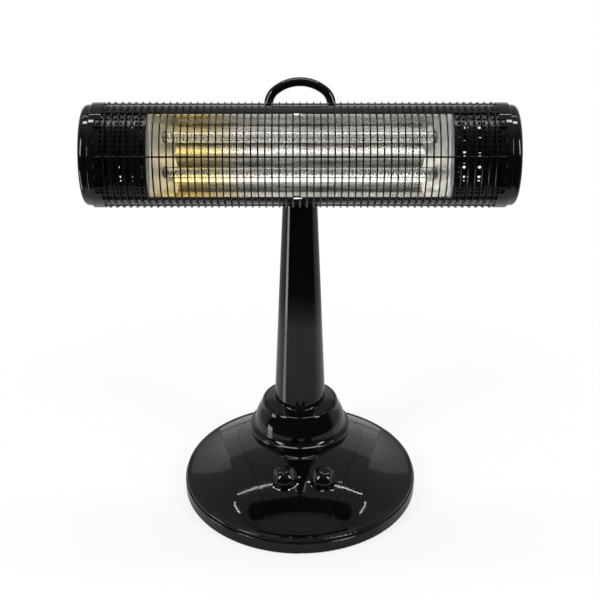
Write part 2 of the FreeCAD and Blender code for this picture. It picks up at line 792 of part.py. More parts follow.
def build_controls():
    """Both knobs, the clockwork timer and the rotary switch that they turn."""
    build_knob("timer", timer_frame, dim.timer_rest_turn)
    build_knob("selector", selector_frame, dim.selector_rest_turn)
    under = -dim.mould_wall - dim.seat_gap
    bore_radius = dim.shaft_radius + dim.running_gap
    top = under - dome_drop(dim.timer_width * math.sqrt(HALF_SHARE))
    case = block("timer_case", dim.timer_width, dim.timer_width, dim.timer_height,
                 z=top - dim.timer_height)
    timer_bore = cylinder("timer_bore", bore_radius, dim.timer_height + dim.overrun,
                          z=top - dim.timer_height)
    keep(set_in(cut("timer_unit", case, timer_bore), timer_frame))
    top = under - dome_drop(dim.switch_radius)
    can = cylinder("switch_can", dim.switch_radius, dim.switch_height, z=top - dim.switch_height)
    switch_bore = cylinder("switch_bore", bore_radius, dim.switch_height + dim.overrun,
                           z=top - dim.switch_height)
    tags = block("switch_tags", dim.switch_radius * HALF_SHARE, dim.switch_radius * 2,
                 dim.bridge_plate, z=top - dim.switch_height - dim.bridge_plate * HALF_SHARE)
    keep(set_in(cut("selector_switch", fuse("switch_form", can, tags), switch_bore), selector_frame))


def build_swing():
    """Crank on the motor, with its pin just under the slotted arm that it drives."""
    disc = cylinder("crank_plate", dim.crank_radius + dim.crank_pin + dim.crank_margin, dim.crank_thick,
                    y=motor_y, z=crank_level)
    rod = cylinder("crank_rod", dim.shaft_radius, dim.crank_lift + dim.motor_height * HALF_SHARE,
                   y=motor_y, z=ballast_top + dim.motor_height * HALF_SHARE)
    pin = cylinder("crank_pin", dim.crank_pin, arm_level - dim.moving_gap - crank_level,
                   y=motor_y - dim.crank_radius, z=crank_level)
    keep(fuse("swing_crank", disc, rod, pin))

    reach = dim.motor_reach + dim.crank_radius + dim.crank_pin + dim.crank_margin
    hub = cylinder("arm_disc", dim.arm_hub, dim.arm_thick, y=dim.post_back, z=arm_level)
    strip = block("arm_strip", dim.arm_half * 2, reach, dim.arm_thick,
                  y=dim.post_back - reach * HALF_SHARE, z=arm_level)
    bore = cylinder("arm_bore", dim.pipe_radius + dim.seat_gap, dim.arm_thick,
                    y=dim.post_back, z=arm_level)
    slot = block("arm_slot", (dim.crank_pin + dim.moving_gap) * 2, reach - dim.arm_hub - dim.crank_margin,
                 dim.arm_thick, y=dim.post_back - (reach + dim.arm_hub - dim.crank_margin) * HALF_SHARE,
                 z=arm_level)
    keep(cut("swing_arm", fuse("arm_form", hub, strip), bore, slot))


def build_post():
    """Foot ring, tapered shell, load pipe, swivel disc, nut and cable, about the post's axis."""
    y, wall = dim.post_back, dim.post_wall
    ring = turned("foot_ring", [
        Corner(ring_radius - wall, disc_top),
        Corner(ring_radius, disc_top),
        Corner(ring_radius, collar_top),
        Corner(dim.post_foot + wall, collar_top + dim.ring_rise, wall, -1),
        Corner(dim.post_foot + dim.seat_gap, collar_top + dim.ring_rise + wall),
        Corner(dim.post_foot + dim.seat_gap, post_foot_level),
        Corner(dim.post_foot - wall, post_foot_level),
        Corner(dim.post_foot - wall, post_foot_level - wall),
        Corner(ring_radius - wall, collar_top - wall),
    ])
    keep(seat(ring, y=y))
    shell = turned("post_shell", [
        Corner(dim.post_foot - wall, post_foot_level),
        Corner(dim.post_foot, post_foot_level),
        Corner(dim.post_top, post_top_level),
        Corner(dim.post_top - wall, post_top_level),
    ])
    keep(seat(shell, y=y))
    disc = turned("swivel_disc", [
        Corner(dim.pipe_radius + dim.seat_gap, disc_level),
        Corner(ring_radius, disc_level),
        Corner(ring_radius, disc_top),
        Corner(dim.pipe_radius + dim.seat_gap, disc_top),
    ])
    keep(seat(disc, y=y))
    pipe_top = post_top_level - dim.pipe_seat
    pipe = turned("load_pipe", [
        Corner(dim.pipe_radius - dim.pipe_wall, pipe_level),
        Corner(dim.pipe_radius, pipe_level),
        Corner(dim.pipe_radius, pipe_top),
        Corner(dim.pipe_radius - dim.pipe_wall, pipe_top),
    ])
    keep(seat(pipe, y=y))
    nut = hexagon("nut_blank", dim.nut_radius, dim.nut_height, y=y, z=nut_level)
    thread = cylinder("nut_thread", dim.pipe_radius + dim.seat_gap, dim.nut_height, y=y, z=nut_level)
    keep(cut("pipe_nut", nut, thread))
    aside = dim.pipe_radius - dim.pipe_wall - dim.cable_radius - dim.seat_gap
    keep(cylinder("post_cable", dim.cable_radius, pipe_top - pipe_level, x=aside, y=y, z=pipe_level))


def build_neck():
    """Knuckle on the post's top, with the bolt, nut and friction washers of the tilt joint."""
    y = dim.post_back
    plug_radius = dim.post_top - dim.post_wall - dim.seat_gap
    plug = turned("knuckle_plug", [
        Corner(ZERO, post_top_level - dim.knuckle_plug),
        Corner(plug_radius, post_top_level - dim.knuckle_plug),
        Corner(plug_radius, post_top_level),
        Corner(dim.post_top, post_top_level),
        Corner(dim.post_top - dim.knuckle_flange * HALF_SHARE, post_top_level + dim.knuckle_flange),
        Corner(ZERO, post_top_level + dim.knuckle_flange),
    ])
    ear = dim.ear_radius
    ears = extruded("knuckle_ears", "YZ_Plane", [
        Corner(-ear, post_top_level),
        Corner(ear, post_top_level),
        Corner(ear, hinge_level, ear),
        Corner(ZERO, hinge_level + ear, ear),
        Corner(-ear, hinge_level),
    ], fork_half * 2, symmetric=True)
    slot = block("knuckle_slot", dim.fork_slot, dim.post_top * 2 + dim.overrun, dim.slot_depth + ear * 2,
                 z=hinge_level - dim.slot_depth)
    bore = cylinder("knuckle_bore", dim.bolt_radius + dim.seat_gap, fork_half * 2 + dim.overrun * 2,
                    x=-fork_half - dim.overrun, z=hinge_level, turn=ALONG_X)
    socket = cylinder("knuckle_socket", dim.pipe_radius + dim.seat_gap, dim.knuckle_plug,
                      z=post_top_level - dim.knuckle_plug - dim.pipe_seat)
    knuckle = cut("neck_knuckle", fuse("knuckle_form", plug, ears), slot, bore, socket)
    keep(seat(knuckle, y=y))

    head_start = fork_half + dim.bolt_head_height + dim.seat_gap
    head = hexagon("bolt_head", dim.bolt_head, dim.bolt_head_height, x=-head_start, y=y,
                   z=hinge_level, turn=ALONG_X)
    rod = cylinder("bolt_rod", dim.bolt_radius, head_start * 2, x=-head_start, y=y,
                   z=hinge_level, turn=ALONG_X)
    keep(fuse("tilt_bolt", head, rod))
    nut = hexagon("tilt_nut_blank", dim.bolt_head, dim.bolt_head_height, x=fork_half + dim.seat_gap, y=y,
                  z=hinge_level, turn=ALONG_X)
    thread = cylinder("tilt_nut_thread", dim.bolt_radius + dim.seat_gap, dim.bolt_head_height + dim.overrun,
                      x=fork_half, y=y, z=hinge_level, turn=ALONG_X)
    keep(cut("tilt_nut", nut, thread))
    washers = []
    for side, word in ((-1, "left"), (1, "right")):
        middle = (dim.fork_slot * HALF_SHARE - dim.washer_thick * HALF_SHARE - dim.seat_gap) * side
        start = middle - dim.washer_thick * HALF_SHARE
        plate = cylinder(f"{word}_washer_plate", dim.washer_radius, dim.washer_thick,
                         x=start, y=y, z=hinge_level, turn=ALONG_X)
        hole = cylinder(f"{word}_washer_hole", dim.bolt_radius + dim.seat_gap, dim.washer_thick,
                        x=start, y=y, z=hinge_level, turn=ALONG_X)
        washers.append(cut(f"{word}_washer", plate, hole))
    pair = doc.addObject("Part::Compound", "friction_washers")
    pair.Links = washers
    keep(pair)


tilt = math.radians(dim.rest_tilt.value)
head_centre = Vector(
    0,
    dim.post_back.value - dim.hinge_reach.value * math.cos(tilt),
    hinge_level.value + dim.hinge_reach.value * math.sin(tilt),
)
head_frame = Placement(head_centre, Rotation(Vector(1, 0, 0), -dim.rest_tilt.value))


def sector(name, radius, sheet, start_x, length, low, high):
    """A curved sheet about the head's axis, from angle low to angle high above straight ahead."""
    turn = ALONG_X.multiply(Rotation(UP, -high.value))
    outside = cylinder(f"{name}_outside", radius, length, x=start_x, turn=turn)
    outside.setExpression("Angle", (high - low).text)
    inside = cylinder(f"{name}_inside", radius - sheet, length, x=start_x, turn=ALONG_X)
    return cut(name, outside, inside)


def radial_frame(x, radius, angle):
    """A frame at a radius and angle about the head's axis, with Z pointing outwards."""
    out = Vector(0, -math.cos(math.radians(angle)), math.sin(math.radians(angle)))
    return Placement(Vector(x, 0, 0) + out * radius, Rotation(Vector(1, 0, 0), Vector(), out, "ZXY"))


def end_screw_frames(radius, side):
    """The places of the two screws in one end ring's tabs, at a radius."""
    x = side * (dim.body_half.value - dim.screw_inset.value)
    angle = dim.screw_angle.value
    return [radial_frame(x, radius.value, turn) for turn in (-angle, angle)]


SIDES = ((-1, "left"), (1, "right"))
back_angle = Size(FULL_TURN / 2, "180")
screw_seat = dim.ring_radius - dim.screw_head_height - dim.screw_clear


def end_start(side, near, depth):
    """Where a piece that reaches from near to near plus depth starts along X, on either side."""
    return near if side > 0 else -near - depth


def build_shell():
    """Rear shell with its vents, and the perforated panels at both ends of the window."""
    length = dim.body_half - dim.seat_gap
    full = sector("shell_sheet", dim.shell_radius, dim.shell_sheet, -length, length * 2,
                  dim.window_angle, back_angle * 2 - dim.window_angle)
    vent = block("vent_master", dim.vent_width, dim.vent_height, dim.shell_sheet + dim.overrun * 2,
                 z=-dim.overrun)
    row_step = math.degrees(dim.vent_pitch.value / dim.shell_radius.value)
    first_x = dim.window_half.value + dim.vent_margin.value
    vent_frames = []
    for side, word in SIDES:
        for column in range(VENT_COLUMNS):
            x = side * (first_x + column * dim.vent_pitch.value)
            for line in range(VENT_ROWS):
                angle = back_angle.value + (line - VENT_ROWS // 2) * row_step
                vent_frames.append(radial_frame(x, dim.shell_radius.value, angle))
    vents = copies("shell_vents", vent, vent_frames)
    hole = cylinder("shell_hole", dim.screw_shank + dim.screw_clear, dim.overrun * 4, z=-dim.overrun * 2)
    leg_frames = [Placement(Vector(side * dim.handle_half.value, dim.handle_back.value,
                                   handle_foot.value), Rotation()) for side, word in SIDES]
    saddle_frames = saddle_screw_frames(dim.shell_radius)
    holes = copies("shell_holes", hole, leg_frames + saddle_frames)
    keep(set_in(cut("rear_shell", full, vents, holes), head_frame))

    bore = cylinder("perforation", dim.hole_radius, dim.panel_sheet + dim.overrun, z=-dim.overrun)
    screw_bore = cylinder("panel_screw_bore", dim.screw_shank + dim.screw_clear, dim.overrun * 2,
                          z=-dim.overrun)
    width = dim.body_half - dim.seat_gap - dim.window_half
    low = dim.window_angle - dim.seat_gap
    columns = int((width.value - dim.hole_margin.value * 2) / dim.hole_pitch.value) + 1
    step = math.degrees(dim.hole_pitch.value / dim.shell_radius.value)
    rows = int(dim.hole_angle.value / step)
    for side, word in SIDES:
        plate = sector(f"{word}_panel_sheet", dim.shell_radius, dim.panel_sheet,
                       end_start(side, dim.window_half, width), width, -low, low)
        frames = []
        for column in range(columns):
            x = side * (dim.window_half.value + dim.hole_margin.value + column * dim.hole_pitch.value)
            for line in range(-rows, rows + 1):
                frames.append(radial_frame(x, dim.shell_radius.value, line * step))
        holes = copies(f"{word}_perforations", bore, frames)
        screws = copies(f"{word}_panel_screws", screw_bore, end_screw_frames(dim.shell_radius, side))
        keep(set_in(cut(f"perforated_panel_{word}", plate, holes, screws), head_frame))


def saddle_screw_frames(radius):
    """The four places where the tilt bracket is screwed to the shell."""
    x = dim.saddle_half.value - dim.screw_head.value * 2
    angle = dim.saddle_angle.value * HALF_SHARE
    return [radial_frame(side * x, radius.value, back_angle.value + end * angle)
            for side in (-1, 1) for end in (-1, 1)]


def build_ends():
    """End rings with their tabs, end caps and the ring screws."""
    sink = cylinder("tab_sink", dim.screw_head + dim.screw_clear, dim.overrun * 2)
    bore = cylinder("tab_bore", dim.screw_shank + dim.screw_clear, dim.overrun * 4, z=-dim.overrun * 2)
    screw_frames = []
    for side, word in SIDES:
        face = Rotation(Vector(0, 1, 0), side * FULL_TURN / 4)
        ring = turned(f"{word}_ring_form", [
            Corner(dim.ring_inner, dim.body_half),
            Corner(dim.ring_radius, dim.body_half),
            Corner(dim.ring_radius, dim.body_half + dim.ring_width - dim.ring_round, dim.ring_round),
            Corner(dim.ring_radius - dim.ring_round, dim.body_half + dim.ring_width),
            Corner(dim.ring_inner, dim.body_half + dim.ring_width),
        ])
        ring.Placement = Placement(Vector(), face)
        tabs = []
        lowest = dim.shell_radius + dim.tab_lift
        start = end_start(side, dim.body_half - dim.tab_reach, dim.tab_reach)
        spans = (("upper", dim.tab_start, dim.tab_end), ("lower", -dim.tab_end, -dim.tab_start))
        for tab, low, high in spans:
            tabs.append(sector(f"{word}_{tab}_tab", dim.ring_radius, dim.ring_radius - lowest,
                               start, dim.tab_reach, low, high))
        frames = end_screw_frames(screw_seat, side)
        sinks = copies(f"{word}_tab_sinks", sink, frames)
        bores = copies(f"{word}_tab_bores", bore, frames)
        keep(set_in(cut(f"end_ring_{word}", fuse(f"{word}_ring", ring, *tabs), sinks, bores), head_frame))
        screw_frames += frames

        start_z = dim.body_half + dim.ring_width
        end_z = start_z + dim.cap_depth
        wall = dim.mould_wall
        cap = turned(f"end_cap_{word}", [
            Corner(ZERO, end_z - wall),
            Corner(dim.cap_radius - dim.cap_round, end_z - wall),
            Corner(dim.cap_radius - wall, end_z - dim.cap_round),
            Corner(dim.cap_radius - wall, start_z),
            Corner(dim.cap_radius, start_z),
            Corner(dim.cap_radius, end_z - dim.cap_round, dim.cap_round),
            Corner(dim.cap_radius - dim.cap_round, end_z),
            Corner(ZERO, end_z),
        ])
        keep(set_in(cap, head_frame.multiply(Placement(Vector(), face))))
    keep(set_in(copies("end_screws", screw_master, screw_frames), head_frame))


def build_guard():
    """Wire guard: upright hoops over long rails."""
    sides = [(index + HALF_SHARE) * 2 * math.pi / WIRE_SIDES for index in range(WIRE_SIDES)]
    hoop = turned("hoop_master", [
        Corner(dim.hoop_radius + dim.hoop_wire * math.cos(side), dim.hoop_wire * math.sin(side))
        for side in sides
    ], dim.hoop_end * 2)
    hoop.Placement = Placement(Vector(), ALONG_X.multiply(Rotation(UP, -dim.hoop_end.value)))
    middle = (HOOP_COUNT - 1) * HALF_SHARE
    frames = [Placement(Vector((index - middle) * dim.hoop_pitch.value, 0, 0), Rotation())
              for index in range(HOOP_COUNT)]
    keep(set_in(copies("guard_hoops", hoop, frames), head_frame))

    long_half = dim.body_half - dim.seat_gap
    short_half = long_half - dim.tab_reach
    rails = [cylinder("middle_rail", dim.rail_wire, long_half * 2, x=-long_half, y=-rail_circle,
                      turn=ALONG_X)]
    short = cylinder("short_rail", dim.rail_wire, short_half * 2, x=-short_half, turn=ALONG_X)
    edge, end = dim.rail_edge_angle.value, dim.rail_end_angle.value
    places = [radial_frame(0, rail_circle.value, angle).Base for angle in (-end, -edge, edge, end)]
    rails.append(copies("short_rails", short, [Placement(place, Rotation()) for place in places]))
    group = doc.addObject("Part::Compound", "guard_rails")
    group.Links = rails
    keep(set_in(group, head_frame))


def reflector_corners():
    """The trough's section at its left end, from its upper lip to its lower lip."""
    radius = dim.shell_radius.value
    start = dim.seat_gap.value - dim.window_half.value
    upper = [Vector(start, -ahead * radius, above * radius) for ahead, above in REFLECTOR_SHARES]
    lower = [Vector(start, point.y, -point.z) for point in reversed(upper[:-1])]
    return upper + lower


def build_reflector():
    """Bright trough, its slanted end plates and the bulkheads that carry it with the tubes."""
    corners = reflector_corners()
    line = Part.makePolygon(corners)
    half = dim.window_half.value - dim.seat_gap.value
    sheet = line.makeOffset2D(-dim.reflector_sheet.value, 2, True, True)
    trough = doc.addObject("Part::Feature", "reflector")
    trough.Shape = sheet.extrude(Vector(2 * half, 0, 0))
    keep(set_in(trough, head_frame))

    hollow = doc.addObject("Part::Feature", "trough_hollow")
    face = Part.Face(Part.makePolygon(corners + corners[:1]))
    hollow.Shape = face.extrude(Vector(2 * half, 0, 0))
    deep = corners[len(corners) // 2].y - corners[0].y
    clear = dim.seat_gap.value
    for side, word in SIDES:
        front = Vector(side * (half - clear), corners[0].y, 0)
        back = Vector(side * (half - dim.end_plate_slant.value),
                      corners[0].y + deep + dim.overrun.value * 2, 0)
        along = back - front
        out = Vector(along.y, -along.x, 0).normalize() * (dim.reflector_sheet.value * -side)
        tall = UP * dim.shell_radius.value
        outline = [front - tall, back - tall, back - tall + out, front - tall + out, front - tall]
        slab = doc.addObject("Part::Feature", f"{word}_end_slab")
        slab.Shape = Part.Face(Part.makePolygon(outline)).extrude(tall * 2)
        ways = [cylinder(f"{word}_{name}_way", dim.tube_radius + dim.moving_gap, dim.body_half * 2,
                         x=-dim.body_half, y=dim.tube_back, z=level, turn=ALONG_X)
                for name, level in TUBE_LEVELS]
        plate = common(f"{word}_end_blank", slab, hollow)
        keep(set_in(cut(f"reflector_end_{word}", plate, *ways), head_frame))

        start = end_start(side, dim.window_half, dim.bulkhead_sheet)
        disc = cylinder(f"{word}_bulkhead_disc", shell_bore - dim.seat_gap, dim.bulkhead_sheet,
                        x=start, turn=ALONG_X)
        holes = [cylinder(f"{word}_{name}_hole", dim.tube_radius + dim.seat_gap, dim.bulkhead_sheet,
                          x=start, y=dim.tube_back, z=level, turn=ALONG_X)
                 for name, level in TUBE_LEVELS]
        keep(set_in(cut(f"bulkhead_{word}", disc, *holes), head_frame))


TUBE_LEVELS = (("upper", dim.tube_spread), ("lower", -dim.tube_spread))


def build_tubes():
    """Two quartz tubes with carbon ribbons inside, and the ceramic holders at their ends."""
    tube_half = dim.window_half + dim.bulkhead_sheet + dim.tube_reach
    ribbon_half = dim.window_half - dim.lead_length
    holders = []
    for name, level in TUBE_LEVELS:
        outside = cylinder(f"{name}_tube_outside", dim.tube_radius, tube_half * 2,
                           x=-tube_half, y=dim.tube_back, z=level, turn=ALONG_X)
        inside = cylinder(f"{name}_tube_inside", dim.tube_radius - dim.tube_wall, tube_half * 2,
                          x=-tube_half, y=dim.tube_back, z=level, turn=ALONG_X)
        keep(set_in(cut(f"{name}_quartz_tube", outside, inside), head_frame))
        ribbon = block(f"{name}_ribbon", ribbon_half * 2, dim.ribbon_thick, dim.ribbon_width,
                       y=dim.tube_back, z=level - dim.ribbon_width * HALF_SHARE)
        lead = cylinder(f"{name}_lead", dim.lead_radius, (tube_half + dim.tube_reach * HALF_SHARE) * 2,
                        x=-tube_half - dim.tube_reach * HALF_SHARE, y=dim.tube_back, z=level, turn=ALONG_X)
        keep(set_in(fuse(f"{name}_carbon_element", ribbon, lead), head_frame))
        for side, word in SIDES:
            start = end_start(side, dim.window_half + dim.bulkhead_sheet + dim.seat_gap, dim.holder_length)
            body = cylinder(f"{name}_{word}_holder_body", dim.holder_radius, dim.holder_length,
                            x=start, y=dim.tube_back, z=level, turn=ALONG_X)
            depth = dim.tube_reach + dim.seat_gap
            mouth = start if side > 0 else start + dim.holder_length - depth
            socket = cylinder(f"{name}_{word}_socket", dim.tube_radius + dim.seat_gap, depth,
                              x=mouth, y=dim.tube_back, z=level, turn=ALONG_X)
            way = cylinder(f"{name}_{word}_lead_way", dim.lead_radius + dim.seat_gap, dim.holder_length,
                           x=start, y=dim.tube_back, z=level, turn=ALONG_X)
            holders.append(cut(f"{name}_{word}_holder", body, socket, way))
    group = doc.addObject("Part::Compound", "tube_holders")
    group.Links = holders
    keep(set_in(group, head_frame))


def build_head_fittings():
    """Thermal cutout on the trough's back and the terminal block on the shell's inside."""
    flat_back, ridge = reflector_corners()[2:4]
    middle = (flat_back + ridge) * HALF_SHARE
    slope = (ridge - flat_back).normalize()
    out = Vector(0, -slope.z, slope.y)
    foot = middle + out * (dim.reflector_sheet.value + dim.seat_gap.value)
    foot.x = dim.cutout_x.value
    place = Placement(foot, Rotation(UP, out))
    cutout = cylinder("thermal_cutout", dim.cutout_radius, dim.cutout_height)
    for key in ("x", "y", "z"):
        cutout.setExpression(f"Placement.Base.{key}", None)
    keep(set_in(cutout, head_frame.multiply(place)))

    half_height = dim.terminal_height * HALF_SHARE
    back = Size(
        math.sqrt(shell_bore.value ** 2 - half_height.value ** 2),
        f"sqrt({shell_bore.text} ^ 2 - {half_height.text} ^ 2)",
    )
    body = block("head_terminal_body", dim.terminal_length, dim.terminal_width, dim.terminal_height,
                 x=-dim.cutout_x, y=back - dim.terminal_width * HALF_SHARE - dim.seat_gap, z=-half_height)
    ways = []
    for index in (-1, 1):
        ways.append(cylinder(f"head_terminal_way_{index + 1}", dim.screw_head, dim.terminal_height,
                             x=-dim.cutout_x + dim.terminal_length * (index / 4),
                             y=back - dim.terminal_width * HALF_SHARE))
    keep(set_in(cut("head_terminal_block", body, *ways), head_frame))


def build_bracket():
    """Tilt bracket on the shell's back, its tongue in the knuckle's fork, and its screws."""
    low, high = back_angle - dim.saddle_angle, back_angle + dim.saddle_angle
    outer = dim.shell_radius + dim.seat_gap + dim.saddle_thick
    saddle = sector("saddle", outer, dim.saddle_thick, -dim.saddle_half, dim.saddle_half * 2, low, high)
    tongue_start = dim.shell_radius + dim.saddle_thick * HALF_SHARE
    reach = dim.hinge_reach - tongue_start
    tongue = block("tongue", tongue_width, reach, dim.tongue_half * 2,
                   y=tongue_start + reach * HALF_SHARE, z=-dim.tongue_half)
    hub = cylinder("tongue_hub", dim.tongue_hub, tongue_width,
                   x=-tongue_width * HALF_SHARE, y=dim.hinge_reach, turn=ALONG_X)
    bore = cylinder("tongue_bore", dim.bolt_radius + dim.running_gap, tongue_width,
                    x=-tongue_width * HALF_SHARE, y=dim.hinge_reach, turn=ALONG_X)
    screw_bore = cylinder("saddle_bore", dim.screw_shank + dim.screw_clear, dim.overrun * 2, z=-dim.overrun)
    bores = copies("saddle_bores", screw_bore, saddle_screw_frames(outer))
    bracket = cut("tilt_bracket", fuse("bracket_form", saddle, tongue, hub), bore, bores)
    keep(set_in(bracket, head_frame))
    keep(set_in(copies("bracket_screws", screw_master, saddle_screw_frames(outer)), head_frame))


handle_foot = Size(
    math.sqrt(dim.shell_radius.value ** 2 - dim.handle_back.value ** 2),
    f"sqrt({dim.shell_radius.text} ^ 2 - {dim.handle_back.text} ^ 2)",
)


def build_handle():
    """Arched handle: two legs on the shell, side bends and a flatter top, with its two screws."""
    half, rise, bend = dim.handle_half.value, dim.handle_rise.value, dim.handle_side_bend.value
    aside = half - bend
    crown = (aside ** 2 + rise ** 2 - bend ** 2) / (2 * (rise - bend))
    lean = Vector(aside, 0, crown - rise).normalize()
    spring = Vector(0, dim.handle_back.value, dim.handle_spring.value)
    foot = Vector(half, dim.handle_back.value, handle_foot.value - dim.handle_bar.value)
    shoulder = spring + Vector(half, 0, 0)
    meeting = spring + Vector(aside, 0, 0) + lean * bend
    knee = spring + Vector(aside, 0, 0) + (lean + Vector(1, 0, 0)).normalize() * bend
    top = spring + UP * rise

    def mirrored(point):
        return Vector(-point.x, point.y, point.z)

    path = Part.Wire([
        Part.LineSegment(foot, shoulder).toShape(),
        Part.Arc(shoulder, knee, meeting).toShape(),
        Part.Arc(meeting, top, mirrored(meeting)).toShape(),
        Part.Arc(mirrored(meeting), mirrored(knee), mirrored(shoulder)).toShape(),
        Part.LineSegment(mirrored(shoulder), mirrored(foot)).toShape(),
    ])
    section = Part.Wire(Part.Circle(foot, UP, dim.handle_bar.value).toShape())
    bar = doc.addObject("Part::Feature", "handle_bar")
    bar.Shape = path.makePipeShell([section], True, False)
    shell_space = cylinder("handle_seat", dim.shell_radius + dim.seat_gap, dim.body_half * 2,
                           x=-dim.body_half, turn=ALONG_X)
    depth = dim.screw_length - dim.shell_sheet
    pilots = []
    frames = []
    head_level = Size(
        math.sqrt(shell_bore.value ** 2 - (dim.handle_back.value + dim.screw_head.value) ** 2),
        f"sqrt({shell_bore.text} ^ 2 - ({dim.handle_back.text} + {dim.screw_head.text}) ^ 2)",
    ) - dim.seat_gap
    for side, word in SIDES:
        pilots.append(cylinder(f"handle_pilot_{word}", dim.screw_shank + dim.seat_gap, depth + dim.overrun,
                               x=dim.handle_half * side, y=dim.handle_back, z=head_level))
        place = Vector(side * half, dim.handle_back.value, head_level.value)
        frames.append(Placement(place, Rotation(Vector(1, 0, 0), FULL_TURN / 2)))
    keep(set_in(cut("carry_handle", bar, shell_space, *pilots), head_frame))
    keep(set_in(copies("handle_screws", screw_master, frames), head_frame))


build_tray()
build_cover()
build_inside()
build_controls()
build_swing()
build_post()
build_neck()
build_shell()
build_ends()
build_guard()
build_reflector()
build_tubes()
build_head_fittings()
build_bracket()
build_handle()
doc.recompute()

faults = [piece.Label for piece in doc.Objects if "Invalid" in piece.State or "Error" in piece.State]
faults += [piece.Label for piece in parts if piece.Shape.isNull() or not piece.Shape.isValid()]
if faults:
    raise SystemExit("failed: " + ", ".join(faults))
os.makedirs("parts", exist_ok=True)
for piece in parts:
    piece.Shape.exportStep(os.path.join("parts", f"{piece.Label}.step"))
print(len(parts), "parts written")
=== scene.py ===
"""Looks of a table-top carbon heater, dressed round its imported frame.

Every size is in metres unless its name ends in mm. The front faces -Y and +Z is up.
"""

import json
import logging
import math
from dataclasses import dataclass, field
from enum import Enum
from typing import Any, Dict, List, Optional, Sequence, Tuple, Union

import bpy
from mathutils import Matrix, Vector
from mathutils.geometry import interpolate_bezier

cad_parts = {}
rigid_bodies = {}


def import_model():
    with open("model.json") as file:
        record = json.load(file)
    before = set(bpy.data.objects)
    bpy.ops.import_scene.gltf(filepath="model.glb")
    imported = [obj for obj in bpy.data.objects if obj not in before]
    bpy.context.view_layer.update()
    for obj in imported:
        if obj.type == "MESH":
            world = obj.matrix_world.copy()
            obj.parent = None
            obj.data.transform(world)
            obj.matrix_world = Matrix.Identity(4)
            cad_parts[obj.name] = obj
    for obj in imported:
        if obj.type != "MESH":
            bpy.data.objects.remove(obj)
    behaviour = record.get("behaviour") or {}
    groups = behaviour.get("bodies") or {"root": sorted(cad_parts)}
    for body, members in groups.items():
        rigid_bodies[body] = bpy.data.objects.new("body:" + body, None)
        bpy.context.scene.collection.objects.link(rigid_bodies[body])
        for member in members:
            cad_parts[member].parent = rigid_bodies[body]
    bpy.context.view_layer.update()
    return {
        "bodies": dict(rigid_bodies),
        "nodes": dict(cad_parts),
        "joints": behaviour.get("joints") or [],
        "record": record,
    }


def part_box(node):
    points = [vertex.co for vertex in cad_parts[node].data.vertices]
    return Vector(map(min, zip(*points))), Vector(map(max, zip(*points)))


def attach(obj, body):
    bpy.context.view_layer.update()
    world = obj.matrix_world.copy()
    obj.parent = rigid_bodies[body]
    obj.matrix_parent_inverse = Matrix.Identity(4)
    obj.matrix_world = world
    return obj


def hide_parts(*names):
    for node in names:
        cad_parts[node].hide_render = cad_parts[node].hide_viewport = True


logging.basicConfig(level=logging.INFO, format="%(name)s: %(message)s")
LOG = logging.getLogger("heater")

Pair = Tuple[float, float]
Triple = Tuple[float, float, float]
Colour = Tuple[float, float, float, float]
Input = Union[str, int]
MM = 0.001


def linear(code: str) -> Colour:
    """Turn an sRGB hex colour into linear light.

    Args:
        code: six hex digits.

    Returns:
        Red, green, blue and an alpha of one.
    """
    shares = [int(code[start:start + 2], 16) / 255 for start in (0, 2, 4)]
    light = [s / 12.92 if s <= 0.04045 else ((s + 0.055) / 1.055) ** 2.4 for s in shares]
    return (light[0], light[1], light[2], 1.0)


WHITE = linear("FFFFFF")


def per_metre(size_mm: float) -> float:
    """Texture scale whose pattern repeats about once in a size in millimetres."""
    return 1.0 / (size_mm * MM)


def add_node(tree: bpy.types.NodeTree, kind: str, settings: Optional[Dict[Input, Any]] = None,
             links: Optional[Dict[Input, bpy.types.NodeSocket]] = None) -> bpy.types.Node:
    """Add one shader node with its settings and links.

    Args:
        tree: the node tree that gets the node.
        kind: Blender's type name of the node.
        settings: values by property name, input name or input number.
        links: the sockets that feed its inputs, by input name or number.

    Returns:
        The new node.
    """
    node = tree.nodes.new(kind)
    for name, value in (settings or {}).items():
        if isinstance(name, str) and hasattr(node, name) and name not in node.inputs:
            setattr(node, name, value)
        else:
            node.inputs[name].default_value = value
    for name, socket in (links or {}).items():
        tree.links.new(socket, node.inputs[name])
    return node


def set_ramp(node: bpy.types.Node, stops: Sequence[Tuple[float, Colour]]) -> None:
    """Give a colour ramp its stops.

    Args:
        node: a ShaderNodeValToRGB.
        stops: place and colour of each stop, in order.
    """
    ramp = node.color_ramp
    while len(ramp.elements) < len(stops):
        ramp.elements.new(1.0)
    for element, (place, colour) in zip(ramp.elements, stops):
        element.position = place
        element.color = colour


class Slot(Enum):
    """The record's material slots."""

    GLOSS = "gloss_black_plastic"
    ENAMEL = "satin_black_metal"
    REFLECTOR = "bright_reflector"
    QUARTZ = "quartz"
    CARBON = "carbon"
    CERAMIC = "ceramic"
    ZINC = "zinc_steel"
    RUBBER = "dark_rubber"
    GREY = "grey_plastic"


class Body(Enum):
    """The bodies that pieces ride on."""

    BASE = "base"
    TIMER = "timer_dial"
    SELECTOR = "selector_dial"
    HEAD = "head"


# Levels of a noise between which its colour runs from dark to light, and its roughness from least to most
COLOUR_FROM, COLOUR_TO = 0.35, 0.65
WEAR_FROM, WEAR_TO = 0.3, 0.7
NOISE_DETAIL = 3.0


